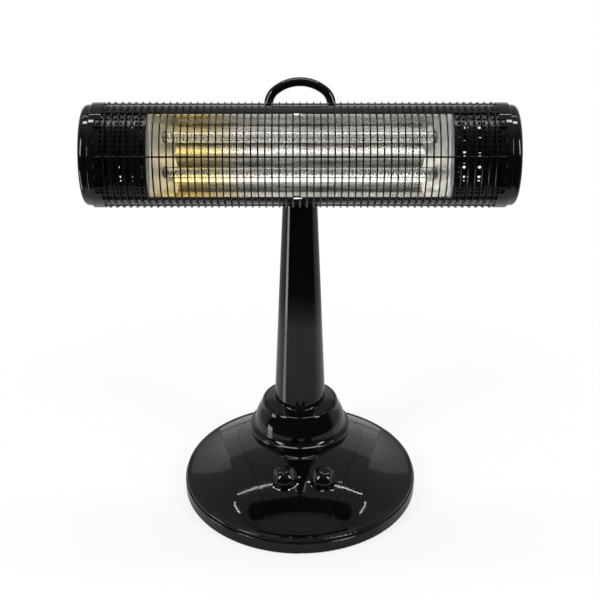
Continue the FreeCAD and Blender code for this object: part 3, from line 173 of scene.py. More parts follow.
@dataclass(frozen=True)
class Finish:
    """A finish with a cloudy colour, a cloudy roughness and a fine bump.

    Attributes:
        name: what the real material is called.
        dark: hex colour of its darker patches.
        light: hex colour of its lighter patches.
        roughness: least and greatest roughness.
        cloud_mm: size of its patches.
        grain_mm: size of its bumps.
        bump_mm: height of its bumps.
        metallic: one for a bare metal.
        ior: index of refraction.
        stretch: how much longer patches and bumps are along each axis.
    """

    name: str
    dark: str
    light: str
    roughness: Pair
    cloud_mm: float
    grain_mm: float
    bump_mm: float
    metallic: float = 0.0
    ior: float = 1.5
    stretch: Triple = (1.0, 1.0, 1.0)

    def material(self) -> bpy.types.Material:
        """Make the material, unless it was made before.

        Returns:
            The material.
        """
        made = bpy.data.materials.get(self.name)
        if made is not None:
            return made
        made = bpy.data.materials.new(self.name)
        made.use_nodes = True
        tree = made.node_tree
        tree.nodes.clear()
        shader = add_node(tree, "ShaderNodeBsdfPrincipled", {"Metallic": self.metallic, "IOR": self.ior})
        self.paint(tree, shader)
        add_node(tree, "ShaderNodeOutputMaterial", links={"Surface": shader.outputs[0]})
        return made

    def place(self, tree: bpy.types.NodeTree) -> bpy.types.NodeSocket:
        """Object coordinates, drawn out along each axis by stretch.

        Args:
            tree: the material's node tree.

        Returns:
            The socket with the coordinates.
        """
        where = add_node(tree, "ShaderNodeTexCoord")
        scale = tuple(1 / share for share in self.stretch)
        return add_node(tree, "ShaderNodeMapping", {"Scale": scale},
                        {"Vector": where.outputs["Object"]}).outputs[0]

    def cloud(self, tree: bpy.types.NodeTree, size_mm: float) -> bpy.types.NodeSocket:
        """A soft noise whose patches have a size in millimetres."""
        return add_node(tree, "ShaderNodeTexNoise", {"Scale": per_metre(size_mm), "Detail": NOISE_DETAIL},
                        {"Vector": self.place(tree)}).outputs[0]

    def paint(self, tree: bpy.types.NodeTree, shader: bpy.types.Node) -> None:
        """Feed colour, roughness and bump into the shader.

        Args:
            tree: the material's node tree.
            shader: its Principled node.
        """
        patches = self.cloud(tree, self.cloud_mm)
        ramp = add_node(tree, "ShaderNodeValToRGB", links={0: patches})
        set_ramp(ramp, [(COLOUR_FROM, linear(self.dark)), (COLOUR_TO, linear(self.light))])
        tree.links.new(ramp.outputs[0], shader.inputs["Base Color"])
        wear = add_node(tree, "ShaderNodeMapRange", {
            "From Min": WEAR_FROM, "From Max": WEAR_TO,
            "To Min": self.roughness[0], "To Max": self.roughness[1]}, {"Value": patches})
        tree.links.new(wear.outputs[0], shader.inputs["Roughness"])
        bump = add_node(tree, "ShaderNodeBump", {"Strength": 1.0, "Distance": self.bump_mm * MM},
                        {"Height": self.cloud(tree, self.grain_mm)})
        tree.links.new(bump.outputs[0], shader.inputs["Normal"])


# High-gloss ABS, injection moulded in a polished tool: deep black, mirror-like, with a faint orange peel
GLOSS_ABS = Finish("gloss_black_abs", "060607", "0A0A0B", (0.03, 0.07), 45, 6, 0.004, ior=1.49)
# Baked enamel on steel: black, satin, with a fine grit from the spray, drawn coarser so that it shows
SATIN_ENAMEL = Finish("satin_black_enamel", "08080A", "0F0F10", (0.15, 0.23), 14, 0.9, 0.005, ior=1.36)
# Steel, rolled and zinc plated: grey with a slight blue cast and fine streaks
ZINC_PLATE = Finish("zinc_plated_steel", "8E9194", "B4B6B8", (0.28, 0.42), 9, 1.2, 0.01, metallic=1.0,
                    stretch=(4, 1, 1))
# Rubber, compression moulded: near black and dull, with a powdery bloom
RUBBER = Finish("moulded_rubber", "121212", "1D1D1D", (0.7, 0.85), 7, 0.8, 0.03)
# Nylon, glass filled: grey and dull with a flecked skin
GREY_NYLON = Finish("grey_nylon", "4C4D50", "626366", (0.45, 0.6), 5, 0.7, 0.02)
# Steatite ceramic, pressed and fired: off-white, chalky
STEATITE = Finish("steatite_ceramic", "D6D0C4", "E9E5DB", (0.5, 0.65), 6, 0.9, 0.02)
# Carbon fibre, wound as a filament: dull and fibrous, painted a warm grey that stands for how it looks in
# strong light
CARBON = Finish("carbon_filament", "877D6E", "B0A590", (0.4, 0.55), 3, 0.8, 0.03, stretch=(1, 1, 3))
# White ink, pad printed: thin and slightly uneven
WHITE_INK = Finish("white_pad_print", "C9C9C9", "E6E6E6", (0.4, 0.5), 1.5, 0.5, 0.004)


@dataclass(frozen=True)
class BrightSheet(Finish):
    """Bright-rolled aluminium: mirror-like, streaked along the roll, with a painted warm reflection at one
    end.

    Attributes:
        painted_reflection: hex colour of the painted warm reflection.
        painted_reflection_from: where along X the painted reflection is full.
        painted_reflection_to: where along X the painted reflection has faded out.
        painted_reflection_share: weight of the painted reflection where it is full.
        painted_reflection_patch_mm: size of the patches that it comes in.
    """

    # Painted warm reflection: a yellow mixed into the sheet's colour towards -X, in patches
    painted_reflection: str = "ECCF3A"
    painted_reflection_from: float = -0.13
    painted_reflection_to: float = -0.05
    painted_reflection_share: float = 0.85
    painted_reflection_patch_mm: float = 30.0

    def paint(self, tree: bpy.types.NodeTree, shader: bpy.types.Node) -> None:
        """Streaks, a painted warm reflection that fades along X, and a rolled bump.

        Args:
            tree: the material's node tree.
            shader: its Principled node.
        """
        super().paint(tree, shader)
        sheet = shader.inputs["Base Color"].links[0].from_socket
        # Painted reflection: yellow mixed into the sheet's colour, full towards -X, faded out towards the
        # middle, in patches
        where = add_node(tree, "ShaderNodeTexCoord")
        along = add_node(tree, "ShaderNodeSeparateXYZ", links={0: where.outputs["Object"]})
        fade = add_node(tree, "ShaderNodeMapRange", {
            "interpolation_type": "SMOOTHSTEP", "From Min": self.painted_reflection_to, "From Max": self.painted_reflection_from,
            "To Max": self.painted_reflection_share}, {"Value": along.outputs["X"]})
        patch = add_node(tree, "ShaderNodeMath", {"operation": "MULTIPLY"},
                         {0: fade.outputs[0], 1: self.cloud(tree, self.painted_reflection_patch_mm)})
        mixed = add_node(tree, "ShaderNodeMix", {"data_type": "RGBA", 7: linear(self.painted_reflection)},
                         {0: patch.outputs[0], 6: sheet})
        tree.links.new(mixed.outputs[2], shader.inputs["Base Color"])


# Aluminium, bright rolled: a near mirror with long streaks, and a painted yellow reflection of warm light
# towards -X
BRIGHT_SHEET = BrightSheet("bright_rolled_aluminium", "DAD8D3", "F4F2EE", (0.13, 0.24), 6, 2.5, 0.016,
                           metallic=1.0, stretch=(9, 1, 1))
# The same sheet, bent up at the ends of the trough, without the painted reflection: paler and duller
END_SHEET = Finish("end_rolled_aluminium", "D6D5D2", "F0EFEC", (0.36, 0.46), 6, 2.5, 0.004, metallic=1.0,
                   stretch=(1, 4, 1))


@dataclass(frozen=True)
class QuartzGlass(Finish):
    """Clear fused quartz, drawn as a tube: colourless, with faint draw lines."""

    def paint(self, tree: bpy.types.NodeTree, shader: bpy.types.Node) -> None:
        """Clear body with draw lines in the bump.

        Args:
            tree: the material's node tree.
            shader: its Principled node.
        """
        super().paint(tree, shader)
        shader.inputs["Transmission Weight"].default_value = 1.0


# Quartz, fused and drawn: clear as water, with soft lines along the tube
QUARTZ = QuartzGlass("fused_quartz", "F4F6F7", "FFFFFF", (0.04, 0.09), 12, 5, 0.004, ior=1.46,
                     stretch=(12, 1, 1))

FINISH_OF: Dict[Slot, Finish] = {
    Slot.GLOSS: GLOSS_ABS,
    Slot.ENAMEL: SATIN_ENAMEL,
    Slot.REFLECTOR: BRIGHT_SHEET,
    Slot.QUARTZ: QUARTZ,
    Slot.CARBON: CARBON,
    Slot.CERAMIC: STEATITE,
    Slot.ZINC: ZINC_PLATE,
    Slot.RUBBER: RUBBER,
    Slot.GREY: GREY_NYLON,
}
FINISH_OF_NODE: Dict[str, Finish] = {
    "reflector_end_left": END_SHEET,
    "reflector_end_right": END_SHEET,
}


def coat(piece: bpy.types.Object, finish: Finish) -> None:
    """Give a piece one finish in a single slot."""
    piece.data.materials.clear()
    piece.data.materials.append(finish.material())


def clear_selection() -> None:
    """Leave edit mode and deselect everything."""
    if bpy.context.mode != "OBJECT":
        bpy.ops.object.mode_set(mode="OBJECT")
    bpy.ops.object.select_all(action="DESELECT")


def only(piece: bpy.types.Object) -> None:
    """Select one piece and make it active.

    Args:
        piece: the piece.
    """
    clear_selection()
    piece.select_set(True)
    bpy.context.view_layer.objects.active = piece


def face_outwards(piece: bpy.types.Object, merge: float = 0.0) -> None:
    """Turn a mesh's faces outwards.

    Args:
        piece: the piece.
        merge: distance within which its points are merged first, or zero for no merge.
    """
    only(piece)
    bpy.ops.object.mode_set(mode="EDIT")
    bpy.ops.mesh.select_all(action="SELECT")
    if merge:
        bpy.ops.mesh.remove_doubles(threshold=merge)
    bpy.ops.mesh.normals_make_consistent(inside=False)
    bpy.ops.object.mode_set(mode="OBJECT")


def settle(piece: bpy.types.Object, name: str, place: Matrix,
           smooth_degrees: float = 35.0) -> bpy.types.Object:
    """Move a finished piece's place into its mesh, keep its faces outwards and smooth it.

    Args:
        piece: an object at the origin.
        name: the piece's name.
        place: where its own frame lies, which may be a left-handed one.
        smooth_degrees: edges under this angle are smooth.

    Returns:
        The same piece.
    """
    only(piece)
    bpy.ops.object.transform_apply(location=True, rotation=True, scale=True)
    piece.name = name
    piece.data.name = name
    piece.data.transform(place)
    if place.is_negative:
        piece.data.flip_normals()
    bpy.ops.object.shade_smooth_by_angle(angle=math.radians(smooth_degrees))
    return piece


def enlist(piece: bpy.types.Object, body: Body, slot: Slot, finish: Optional[Finish] = None,
           stands_for: Sequence[str] = ()) -> None:
    """Finish a new piece, seat it on its body and report it.

    Args:
        piece: the new piece.
        body: the body that it rides on.
        slot: the record's slot.
        finish: its finish, or the slot's own.
        stands_for: CAD nodes that it replaces.
    """
    coat(piece, finish or FINISH_OF[slot])
    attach(piece, body.value)
    if stands_for:
        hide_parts(*stands_for)
    LOG.info("%s rides on %s", piece.name, body.value)


def apply_modifier(piece: bpy.types.Object, kind: str, **settings: Any) -> None:
    """Add a modifier and apply it.

    Args:
        piece: the piece.
        kind: Blender's type name of the modifier.
        settings: values by property name.
    """
    only(piece)
    modifier = piece.modifiers.new(kind.lower(), kind)
    for name, value in settings.items():
        setattr(modifier, name, value)
    bpy.ops.object.modifier_apply(modifier=modifier.name)


@dataclass(frozen=True)
class Bend:
    """A smooth stretch of an outline, from the point before it to its own end.

    Attributes:
        leave: the handle by which it leaves the point before it.
        arrive: the handle by which it reaches its end.
        end: its last point.
        count: how many points it adds.
    """

    leave: Pair
    arrive: Pair
    end: Pair
    count: int

    def after(self, start: Pair) -> List[Pair]:
        """Work out the points of the bend.

        Args:
            start: the point before it.

        Returns:
            Its points after the start.
        """
        knots = [Vector(point) for point in (start, self.leave, self.arrive, self.end)]
        return [(point.x, point.y) for point in interpolate_bezier(*knots, self.count + 1)[1:]]


Outline = Sequence[Union[Pair, Bend]]


def trace(outline: Outline) -> List[Pair]:
    """Turn an outline in millimetres into points in metres.

    Args:
        outline: its points and bends, in order.

    Returns:
        Its points.
    """
    points: List[Pair] = []
    for stretch in outline:
        points += stretch.after(points[-1]) if isinstance(stretch, Bend) else [stretch]
    return [(across * MM, along * MM) for across, along in points]


def lathe(profile: Sequence[Pair], sides: int, closed: bool = True) -> bpy.types.Object:
    """Model a turned form about Z: a ring that is extruded and scaled from level to level.

    Args:
        profile: radius and height of each level.
        sides: sides of the ring.
        closed: whether both ends are filled.

    Returns:
        The new object.
    """
    clear_selection()
    radius, level = profile[0]
    bpy.ops.mesh.primitive_circle_add(vertices=sides, radius=radius, location=(0, 0, 0))
    piece = bpy.context.object
    bpy.ops.object.mode_set(mode="EDIT")
    bpy.ops.mesh.select_all(action="SELECT")
    bpy.ops.transform.translate(value=(0, 0, level))
    for (before, low), (after, high) in zip(profile, profile[1:]):
        bpy.ops.mesh.extrude_edges_move(TRANSFORM_OT_translate={"value": (0, 0, high - low)})
        share = after / before
        bpy.ops.transform.resize(value=(share, share, 1), center_override=(0, 0, high))
    if closed:
        bpy.ops.mesh.select_all(action="SELECT")
        bpy.ops.mesh.fill_holes(sides=0)
    face_outwards(piece)
    return piece


def join(pieces: Sequence[bpy.types.Object]) -> bpy.types.Object:
    """Join several objects into the first.

    Args:
        pieces: the objects.

    Returns:
        The first object, with the meshes of all.
    """
    clear_selection()
    for piece in pieces:
        piece.select_set(True)
    bpy.context.view_layer.objects.active = pieces[0]
    bpy.ops.object.join()
    return pieces[0]


# What lies in the head's window, which the two window cards light alone
WINDOW_PIECES = ("reflector", "reflector_end_left", "reflector_end_right", "upper_quartz_tube",
                 "lower_quartz_tube", "upper_filament", "lower_filament", "upper_clip", "lower_clip")


@dataclass
class SoftBox:
    """One soft box of the studio.

    Attributes:
        name: what it is called.
        place: where it hangs.
        size: its width and height.
        power: its watts.
        aim: the point that it faces.
        only_on: names of the pieces that it lights, or none for every piece.
    """

    name: str
    place: Triple
    size: Pair
    power: float
    aim: Triple = (0.0, 0.0, 0.25)
    only_on: Sequence[str] = ()

    def hang(self) -> None:
        """Add the lamp to the scene."""
        lamp = bpy.data.lights.new(self.name, "AREA")
        lamp.shape = "RECTANGLE"
        lamp.size, lamp.size_y = self.size
        lamp.energy = self.power
        hung = bpy.data.objects.new(self.name, lamp)
        hung.location = self.place
        hung.rotation_euler = (Vector(self.aim) - Vector(self.place)).to_track_quat("-Z", "Y").to_euler()
        hung.visible_camera = False
        if self.only_on:
            lit = bpy.data.collections.new(f"lit_by_{self.name}")
            for name in self.only_on:
                lit.objects.link(bpy.data.objects[name])
            hung.light_linking.receiver_collection = lit
        bpy.context.scene.collection.objects.link(hung)


@dataclass
class Studio:
    """Camera at the photograph's angle, a white sweep under and behind the part, and soft boxes.

    Attributes:
        camera_at: where the camera stands.
        pitch: how far it looks down, in degrees.
        lens_mm: focal length.
        sensor_mm: width of the sensor.
        floor_radius: radius of the floor.
        floor_sides: sides of its round edge.
        floor_colour: hex colour of its paper.
        floor_glow: how far the floor is white to the camera by itself.
        floor_fade: distances at which the floor begins to fade and is gone.
        floor_gloss: how far the floor shows in gloss.
        room: how bright the room is as light.
        behind: what gloss shows behind, as heights of a view ray from -1 to 1 with their levels.
        front: the same in front.
        blend: how far behind and front run into each other, as a share of a view ray.
        boxes: the soft boxes and cards.
    """

    camera_at: Triple = (0.0, -1.397, 1.036)
    pitch: float = 28.6
    lens_mm: float = 78.0
    sensor_mm: float = 36.0
    floor_radius: float = 0.9
    floor_sides: int = 96
    floor_colour: str = "F4F4F4"
    floor_glow: float = 0.8
    floor_fade: Pair = (0.3, 0.6)
    floor_gloss: float = 0.5
    room: float = 0.35
    behind: Sequence[Pair] = ((0.0, 0.36), (0.5, 0.32), (0.94, 0.26), (0.98, 0.3))
    front: Sequence[Pair] = ((0.25, 0.02), (0.55, 0.06), (0.9, 0.1), (0.98, 0.3))
    blend: float = 0.15
    boxes: Sequence[SoftBox] = (
        SoftBox("left_soft_box", (-1.5, -1.1, 1.45), (0.5, 1.2), 22.0),
        SoftBox("right_soft_box", (1.5, -1.0, 1.4), (0.4, 1.0), 17.0),
        SoftBox("top_soft_box", (0.0, 0.27, 2.2), (1.6, 0.2), 14.0),
        SoftBox("rear_strip", (0.0, 0.95, 2.2), (2.6, 0.014), 3.6),
        SoftBox("rear_card", (0.0, 1.0, 0.36), (3.0, 0.7), 2.0, (0.0, 0.0, 0.36)),
        SoftBox("low_left_box", (-1.3, -0.25, -0.31), (0.34, 0.82), 4.2, (0.0, 0.0, 0.0)),
        SoftBox("low_window_card", (0.0, -1.15, -0.2), (1.8, 0.75), 27.0, (0.0, -0.07, 0.48), WINDOW_PIECES),
        SoftBox("high_window_card", (0.0, -0.85, 1.4), (1.8, 0.7), 5.5, (0.0, -0.07, 0.48), WINDOW_PIECES),
    )

    def build(self) -> None:
        """Set up camera, world, floor and lamps."""
        scene = bpy.context.scene
        scene.view_settings.view_transform = "Standard"
        lens = bpy.data.cameras.new("photo_camera")
        lens.lens = self.lens_mm
        lens.sensor_width = self.sensor_mm
        camera = bpy.data.objects.new("photo_camera", lens)
        camera.location = self.camera_at
        camera.rotation_euler = (math.radians(90 - self.pitch), 0.0, 0.0)
        scene.collection.objects.link(camera)
        scene.camera = camera
        self.surround(scene)
        self.lay_floor()
        for box in self.boxes:
            box.hang()

    def surround(self, scene: bpy.types.Scene) -> None:
        """White to the camera; a pale sweep behind and a dim room in front to gloss and glass.

        Args:
            scene: the scene that gets the world.
        """
        world = bpy.data.worlds.new("studio")
        scene.world = world
        world.use_nodes = True
        tree = world.node_tree
        tree.nodes.clear()
        way = add_node(tree, "ShaderNodeSeparateXYZ", links={
            0: add_node(tree, "ShaderNodeTexCoord").outputs["Generated"]})
        height = add_node(tree, "ShaderNodeMapRange", {"From Min": -1.0}, {"Value": way.outputs["Z"]})
        shares = []
        for stops in (self.front, self.behind):
            ramp = add_node(tree, "ShaderNodeValToRGB", links={0: height.outputs[0]})
            set_ramp(ramp, [((up + 1) / 2, (light, light, light, 1.0)) for up, light in stops])
            shares.append(ramp.outputs[0])
        back = add_node(tree, "ShaderNodeMapRange", {
            "interpolation_type": "SMOOTHSTEP", "From Min": -self.blend, "From Max": self.blend},
            {"Value": way.outputs["Y"]})
        sweep = add_node(tree, "ShaderNodeMix", {"data_type": "FLOAT"},
                         {0: back.outputs[0], 2: shares[0], 3: shares[1]})
        path = add_node(tree, "ShaderNodeLightPath")
        seen = add_node(tree, "ShaderNodeMath", {"operation": "MAXIMUM"}, {
            0: path.outputs["Is Glossy Ray"], 1: path.outputs["Is Transmission Ray"]})
        level = add_node(tree, "ShaderNodeMix", {"data_type": "FLOAT", 2: self.room},
                         {0: seen.outputs[0], 3: sweep.outputs[0]})
        white = add_node(tree, "ShaderNodeMath", {"operation": "MAXIMUM"}, {
            0: path.outputs["Is Camera Ray"], 1: level.outputs[0]})
        light = add_node(tree, "ShaderNodeBackground", {"Color": WHITE}, {"Strength": white.outputs[0]})
        add_node(tree, "ShaderNodeOutputWorld", links={"Surface": light.outputs[0]})

    def lay_floor(self) -> None:
        """A pale round floor that keeps the shadow and fades into the white background."""
        clear_selection()
        bpy.ops.mesh.primitive_circle_add(vertices=self.floor_sides, radius=self.floor_radius,
                                          fill_type="NGON", location=(0, 0, 0))
        floor = bpy.context.object
        floor.name = "floor"
        # Paper from a roll, uncoated: an even white without gloss
        paper = bpy.data.materials.new("white_paper_roll")
        paper.use_nodes = True
        tree = paper.node_tree
        tree.nodes.clear()
        path = add_node(tree, "ShaderNodeLightPath")
        matt = add_node(tree, "ShaderNodeBsdfDiffuse", {"Color": linear(self.floor_colour)})
        glow = add_node(tree, "ShaderNodeEmission", {"Color": WHITE, "Strength": 1.0})
        share = add_node(tree, "ShaderNodeMath", {"operation": "MULTIPLY", 1: self.floor_glow},
                         {0: path.outputs["Is Camera Ray"]})
        both = add_node(tree, "ShaderNodeMixShader", links={
            0: share.outputs[0], 1: matt.outputs[0], 2: glow.outputs[0]})
        where = add_node(tree, "ShaderNodeTexCoord")
        away = add_node(tree, "ShaderNodeVectorMath", {"operation": "LENGTH"}, {0: where.outputs["Object"]})
        fade = add_node(tree, "ShaderNodeMapRange", {
            "interpolation_type": "SMOOTHSTEP",
            "From Min": self.floor_fade[0], "From Max": self.floor_fade[1]}, {"Value": away.outputs["Value"]})
        dim = add_node(tree, "ShaderNodeMath", {"operation": "MULTIPLY", 1: 1 - self.floor_gloss},
                       {0: path.outputs["Is Glossy Ray"]})
        gone = add_node(tree, "ShaderNodeMath", {"operation": "MAXIMUM"},
                        {0: fade.outputs[0], 1: dim.outputs[0]})
        clear = add_node(tree, "ShaderNodeBsdfTransparent")
        shown = add_node(tree, "ShaderNodeMixShader", links={
            0: gone.outputs[0], 1: both.outputs[0], 2: clear.outputs[0]})
        add_node(tree, "ShaderNodeOutputMaterial", links={"Surface": shown.outputs[0]})
        floor.data.materials.append(paper)


@dataclass(frozen=True)
class Dome:
    """The domed panel's sphere, worked out from the axes of the two knobs that stand on it.

    Attributes:
        centre: the sphere's centre.
        radius: the sphere's radius.
    """

    centre: Vector
    radius: float

    @classmethod
    def under(cls, joints: Sequence[Dict[str, Any]]) -> "Dome":
        """The sphere that both knob axes are normal to.

        Args:
            joints: the two knobs' joints.

        Returns:
            The dome.
        """
        places = [Vector(joint["pos_m"]) for joint in joints]
        normals = [Vector(joint["axis"]).normalized() for joint in joints]
        radius = (places[0] - places[1]).length / (normals[0] - normals[1]).length
        return cls(places[0] - normals[0] * radius, radius)

    def frame(self, joint: Dict[str, Any]) -> Matrix:
        """A frame on the dome at a knob, with X to the right and Z out of the dome.

        Args:
            joint: the knob's joint.

        Returns:
            From that frame to the part's.
        """
        out = Vector(joint["axis"]).normalized()
        right = (Vector((1, 0, 0)) - out * out.x).normalized()
        turn = Matrix((right, out.cross(right), out)).transposed()
        return Matrix.Translation(Vector(joint["pos_m"])) @ turn.to_4x4()

    def lay(self, piece: bpy.types.Object, lift: float) -> None:
        """Move every point of a flat print along its radius to just above the dome.

        Args:
            piece: the print.
            lift: its height over the dome.
        """
        for vertex in piece.data.vertices:
            out = vertex.co - self.centre
            vertex.co = self.centre + out.normalized() * (self.radius + lift)


@dataclass
class DialPrint:
    """White marks printed round a knob.

    Attributes:
        name: the print's name.
        circle: radius of the marks' circle.
        lift: thickness of the ink.
        dots: angles of the dots, in degrees from the right.
        dot_radius: radius of a dot.
        dot_rim: width of the rim inside its edge, as a share of its radius.
        dot_sides: sides of its round edge.
        arcs: first and last angle of each swelling arc.
        arc_width: an arc's width at its thick end.
        arc_taper: its width at its thin end, as a share of that.
        arc_steps: stretches that it is divided into.
        words: plain number and angle of each numeral.
        word_height: type size of a numeral.
        figure: width and height of one figure, as shares of the type size.
    """

    name: str
    circle: float
    lift: float = 0.00008
    dots: Sequence[float] = ()
    dot_radius: float = 0.0013
    dot_rim: float = 1 / 3
    dot_sides: int = 20
    arcs: Sequence[Pair] = ()
    arc_width: float = 0.0011
    arc_taper: float = 0.35
    arc_steps: int = 12
    words: Sequence[Tuple[str, float]] = ()
    word_height: float = 0.0034
    figure: Pair = (0.6, 0.7)

    def build(self, dome: Dome, joint: Dict[str, Any]) -> None:
        """Make the marks and lay them on the dome.

        Args:
            dome: the panel's dome.
            joint: the knob's joint.
        """
        marks = [self.dot(angle) for angle in self.dots]
        marks += [self.arc(first, last) for first, last in self.arcs]
        marks += [self.word(text, angle) for text, angle in self.words]
        for mark in marks:
            only(mark)
            bpy.ops.object.transform_apply(location=True, rotation=True, scale=True)
        piece = settle(join(marks), self.name, dome.frame(joint))
        dome.lay(piece, self.lift)
        enlist(piece, Body.BASE, Slot.CERAMIC, WHITE_INK)

    def spot(self, angle: float, radius: float) -> Triple:
        """A place on a circle round the knob."""
        turn = math.radians(angle)
        return (radius * math.cos(turn), radius * math.sin(turn), 0.0)

    def dot(self, angle: float) -> bpy.types.Object:
        """A round dot, inset once so that its rim can bend with the dome.

        Args:
            angle: its place on the circle.

        Returns:
            The flat dot.
        """
        clear_selection()
        bpy.ops.mesh.primitive_circle_add(vertices=self.dot_sides, radius=self.dot_radius, fill_type="NGON",
                                          location=self.spot(angle, self.circle))
        bpy.ops.object.mode_set(mode="EDIT")
        bpy.ops.mesh.inset(thickness=self.dot_radius * self.dot_rim)
        bpy.ops.object.mode_set(mode="OBJECT")
        return bpy.context.object

    def arc(self, first: float, last: float) -> bpy.types.Object:
        """A thin arc that swells from its first end to its last.

        A grid of size one is bent round the knob, with its Y inwards so that the arc faces up.

        Args:
            first: angle of the thin end.
            last: angle of the thick end.

        Returns:
            The flat arc.
        """
        clear_selection()
        bpy.ops.mesh.primitive_grid_add(x_subdivisions=self.arc_steps, y_subdivisions=1, size=1,
                                        location=(0, 0, 0))
        piece = bpy.context.object
        for vertex in piece.data.vertices:
            share = vertex.co.x + 0.5
            width = self.arc_width * (self.arc_taper + (1 - self.arc_taper) * share)
            angle = first + (last - first) * share
            vertex.co = Vector(self.spot(angle, self.circle - vertex.co.y * width))
        return piece

    def word(self, text: str, angle: float) -> bpy.types.Object:
        """A plain numeral that stands upright beside the knob.

        Args:
            text: the number.
            angle: its place on the circle.

        Returns:
            The flat numeral as a mesh.
        """
        clear_selection()
        turn = math.radians(angle)
        half = Vector((self.figure[0] * len(text), self.figure[1])) * self.word_height / 2
        away = self.circle + half.x * abs(math.cos(turn)) + half.y * abs(math.sin(turn))
        bpy.ops.object.text_add(location=self.spot(angle, away))
        numeral = bpy.context.object
        numeral.data.body = text
        numeral.data.size = self.word_height
        numeral.data.align_x = "CENTER"
        numeral.data.align_y = "CENTER"
        bpy.ops.object.convert(target="MESH")
        return bpy.context.object


def middle_of(node: str) -> Vector:
    """The middle of a CAD node's box at rest."""
    low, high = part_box(node)
    return (low + high) / 2


@dataclass(frozen=True)
class HeadPlace:
    """The head's own frame at rest: X along the tubes, Y towards the guard, Z up across the window.

    From the front these run to the right, towards the eye and up, so the frame is left-handed.

    Attributes:
        frame: from the head's frame to the part's.
    """

    frame: Matrix

    @classmethod
    def at_rest(cls) -> "HeadPlace":
        """Work the frame out from the tubes and the end rings.

        Returns:
            The head's place.
        """
        up = (middle_of("upper_quartz_tube") - middle_of("lower_quartz_tube")).normalized()
        along = Vector((1, 0, 0))
        axis = (middle_of("end_ring_left") + middle_of("end_ring_right")) / 2
        turn = Matrix((along, along.cross(up), up)).transposed()
        return cls(Matrix.Translation(axis) @ turn.to_4x4())


@dataclass
class Filament:
    """A wound carbon filament on the axis of its quartz tube.

    Attributes:
        name: the filament's name.
        node: the plain ribbon that it stands for.
        radius: radius of the winding.
        wire: radius of the strand.
        wire_sides: sides of the strand.
        pitch: length of one turn.
        turn_steps: stretches that one turn is divided into.
        lead: length of the straight lead at each end.
        lead_share: radius of the lead as a share of the strand's.
        sleeve: the crimped sleeve, from the lead to the winding: its radius as a share of the winding's, and
            its place past the winding in strand radii.
        sleeve_foot: where the sleeve meets the lead, in strand radii past the winding.
        sleeve_sides: sides of lead and sleeve.
    """

    name: str
    node: str
    radius: float = 0.0029
    wire: float = 0.00062
    wire_sides: int = 6
    pitch: float = 0.0046
    turn_steps: int = 14
    lead: float = 0.024
    lead_share: float = 1.3
    sleeve: Sequence[Pair] = ((0.8, 5.0), (1.1, 3.0), (1.1, -2.0))
    sleeve_foot: float = 6.0
    sleeve_sides: int = 12

    def build(self) -> None:
        """Wind the strand, add its leads and lay it in the tube."""
        low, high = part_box(self.node)
        length = high.x - low.x
        turns = int((length - self.lead * 2) / self.pitch)
        clear_selection()
        bpy.ops.mesh.primitive_circle_add(vertices=self.wire_sides, radius=self.wire,
                                          location=(self.radius, 0, 0), rotation=(math.pi / 2, 0, 0))
        coil = bpy.context.object
        bpy.ops.object.transform_apply(location=True, rotation=True, scale=True)
        apply_modifier(coil, "SCREW", axis="Z", angle=math.tau, screw_offset=self.pitch,
                       iterations=turns, steps=self.turn_steps, render_steps=self.turn_steps)
        coil.data.transform(Matrix.Translation((0, 0, -turns * self.pitch / 2)))
        leads = [self.straight(side, length, turns * self.pitch) for side in (-1, 1)]
        piece = join([coil] + leads)
        face_outwards(piece)
        place = Matrix.Translation(middle_of(self.node)) @ Matrix.Rotation(math.pi / 2, 4, "Y")
        settle(piece, self.name, place, smooth_degrees=60)
        enlist(piece, Body.HEAD, Slot.CARBON, stands_for=(self.node,))

    def straight(self, side: int, length: float, wound: float) -> bpy.types.Object:
        """The straight lead at one end, with a crimped sleeve where it meets the winding.

        Args:
            side: minus one or plus one.
            length: length of the whole filament.
            wound: length of its winding.

        Returns:
            The lead along Z.
        """
        thin = self.wire * self.lead_share
        profile = [(thin, length / 2), (thin, wound / 2 + self.wire * self.sleeve_foot)]
        profile += [(self.radius * share, wound / 2 + self.wire * past) for share, past in self.sleeve]
        return lathe([(radius, level * side) for radius, level in profile], self.sleeve_sides)


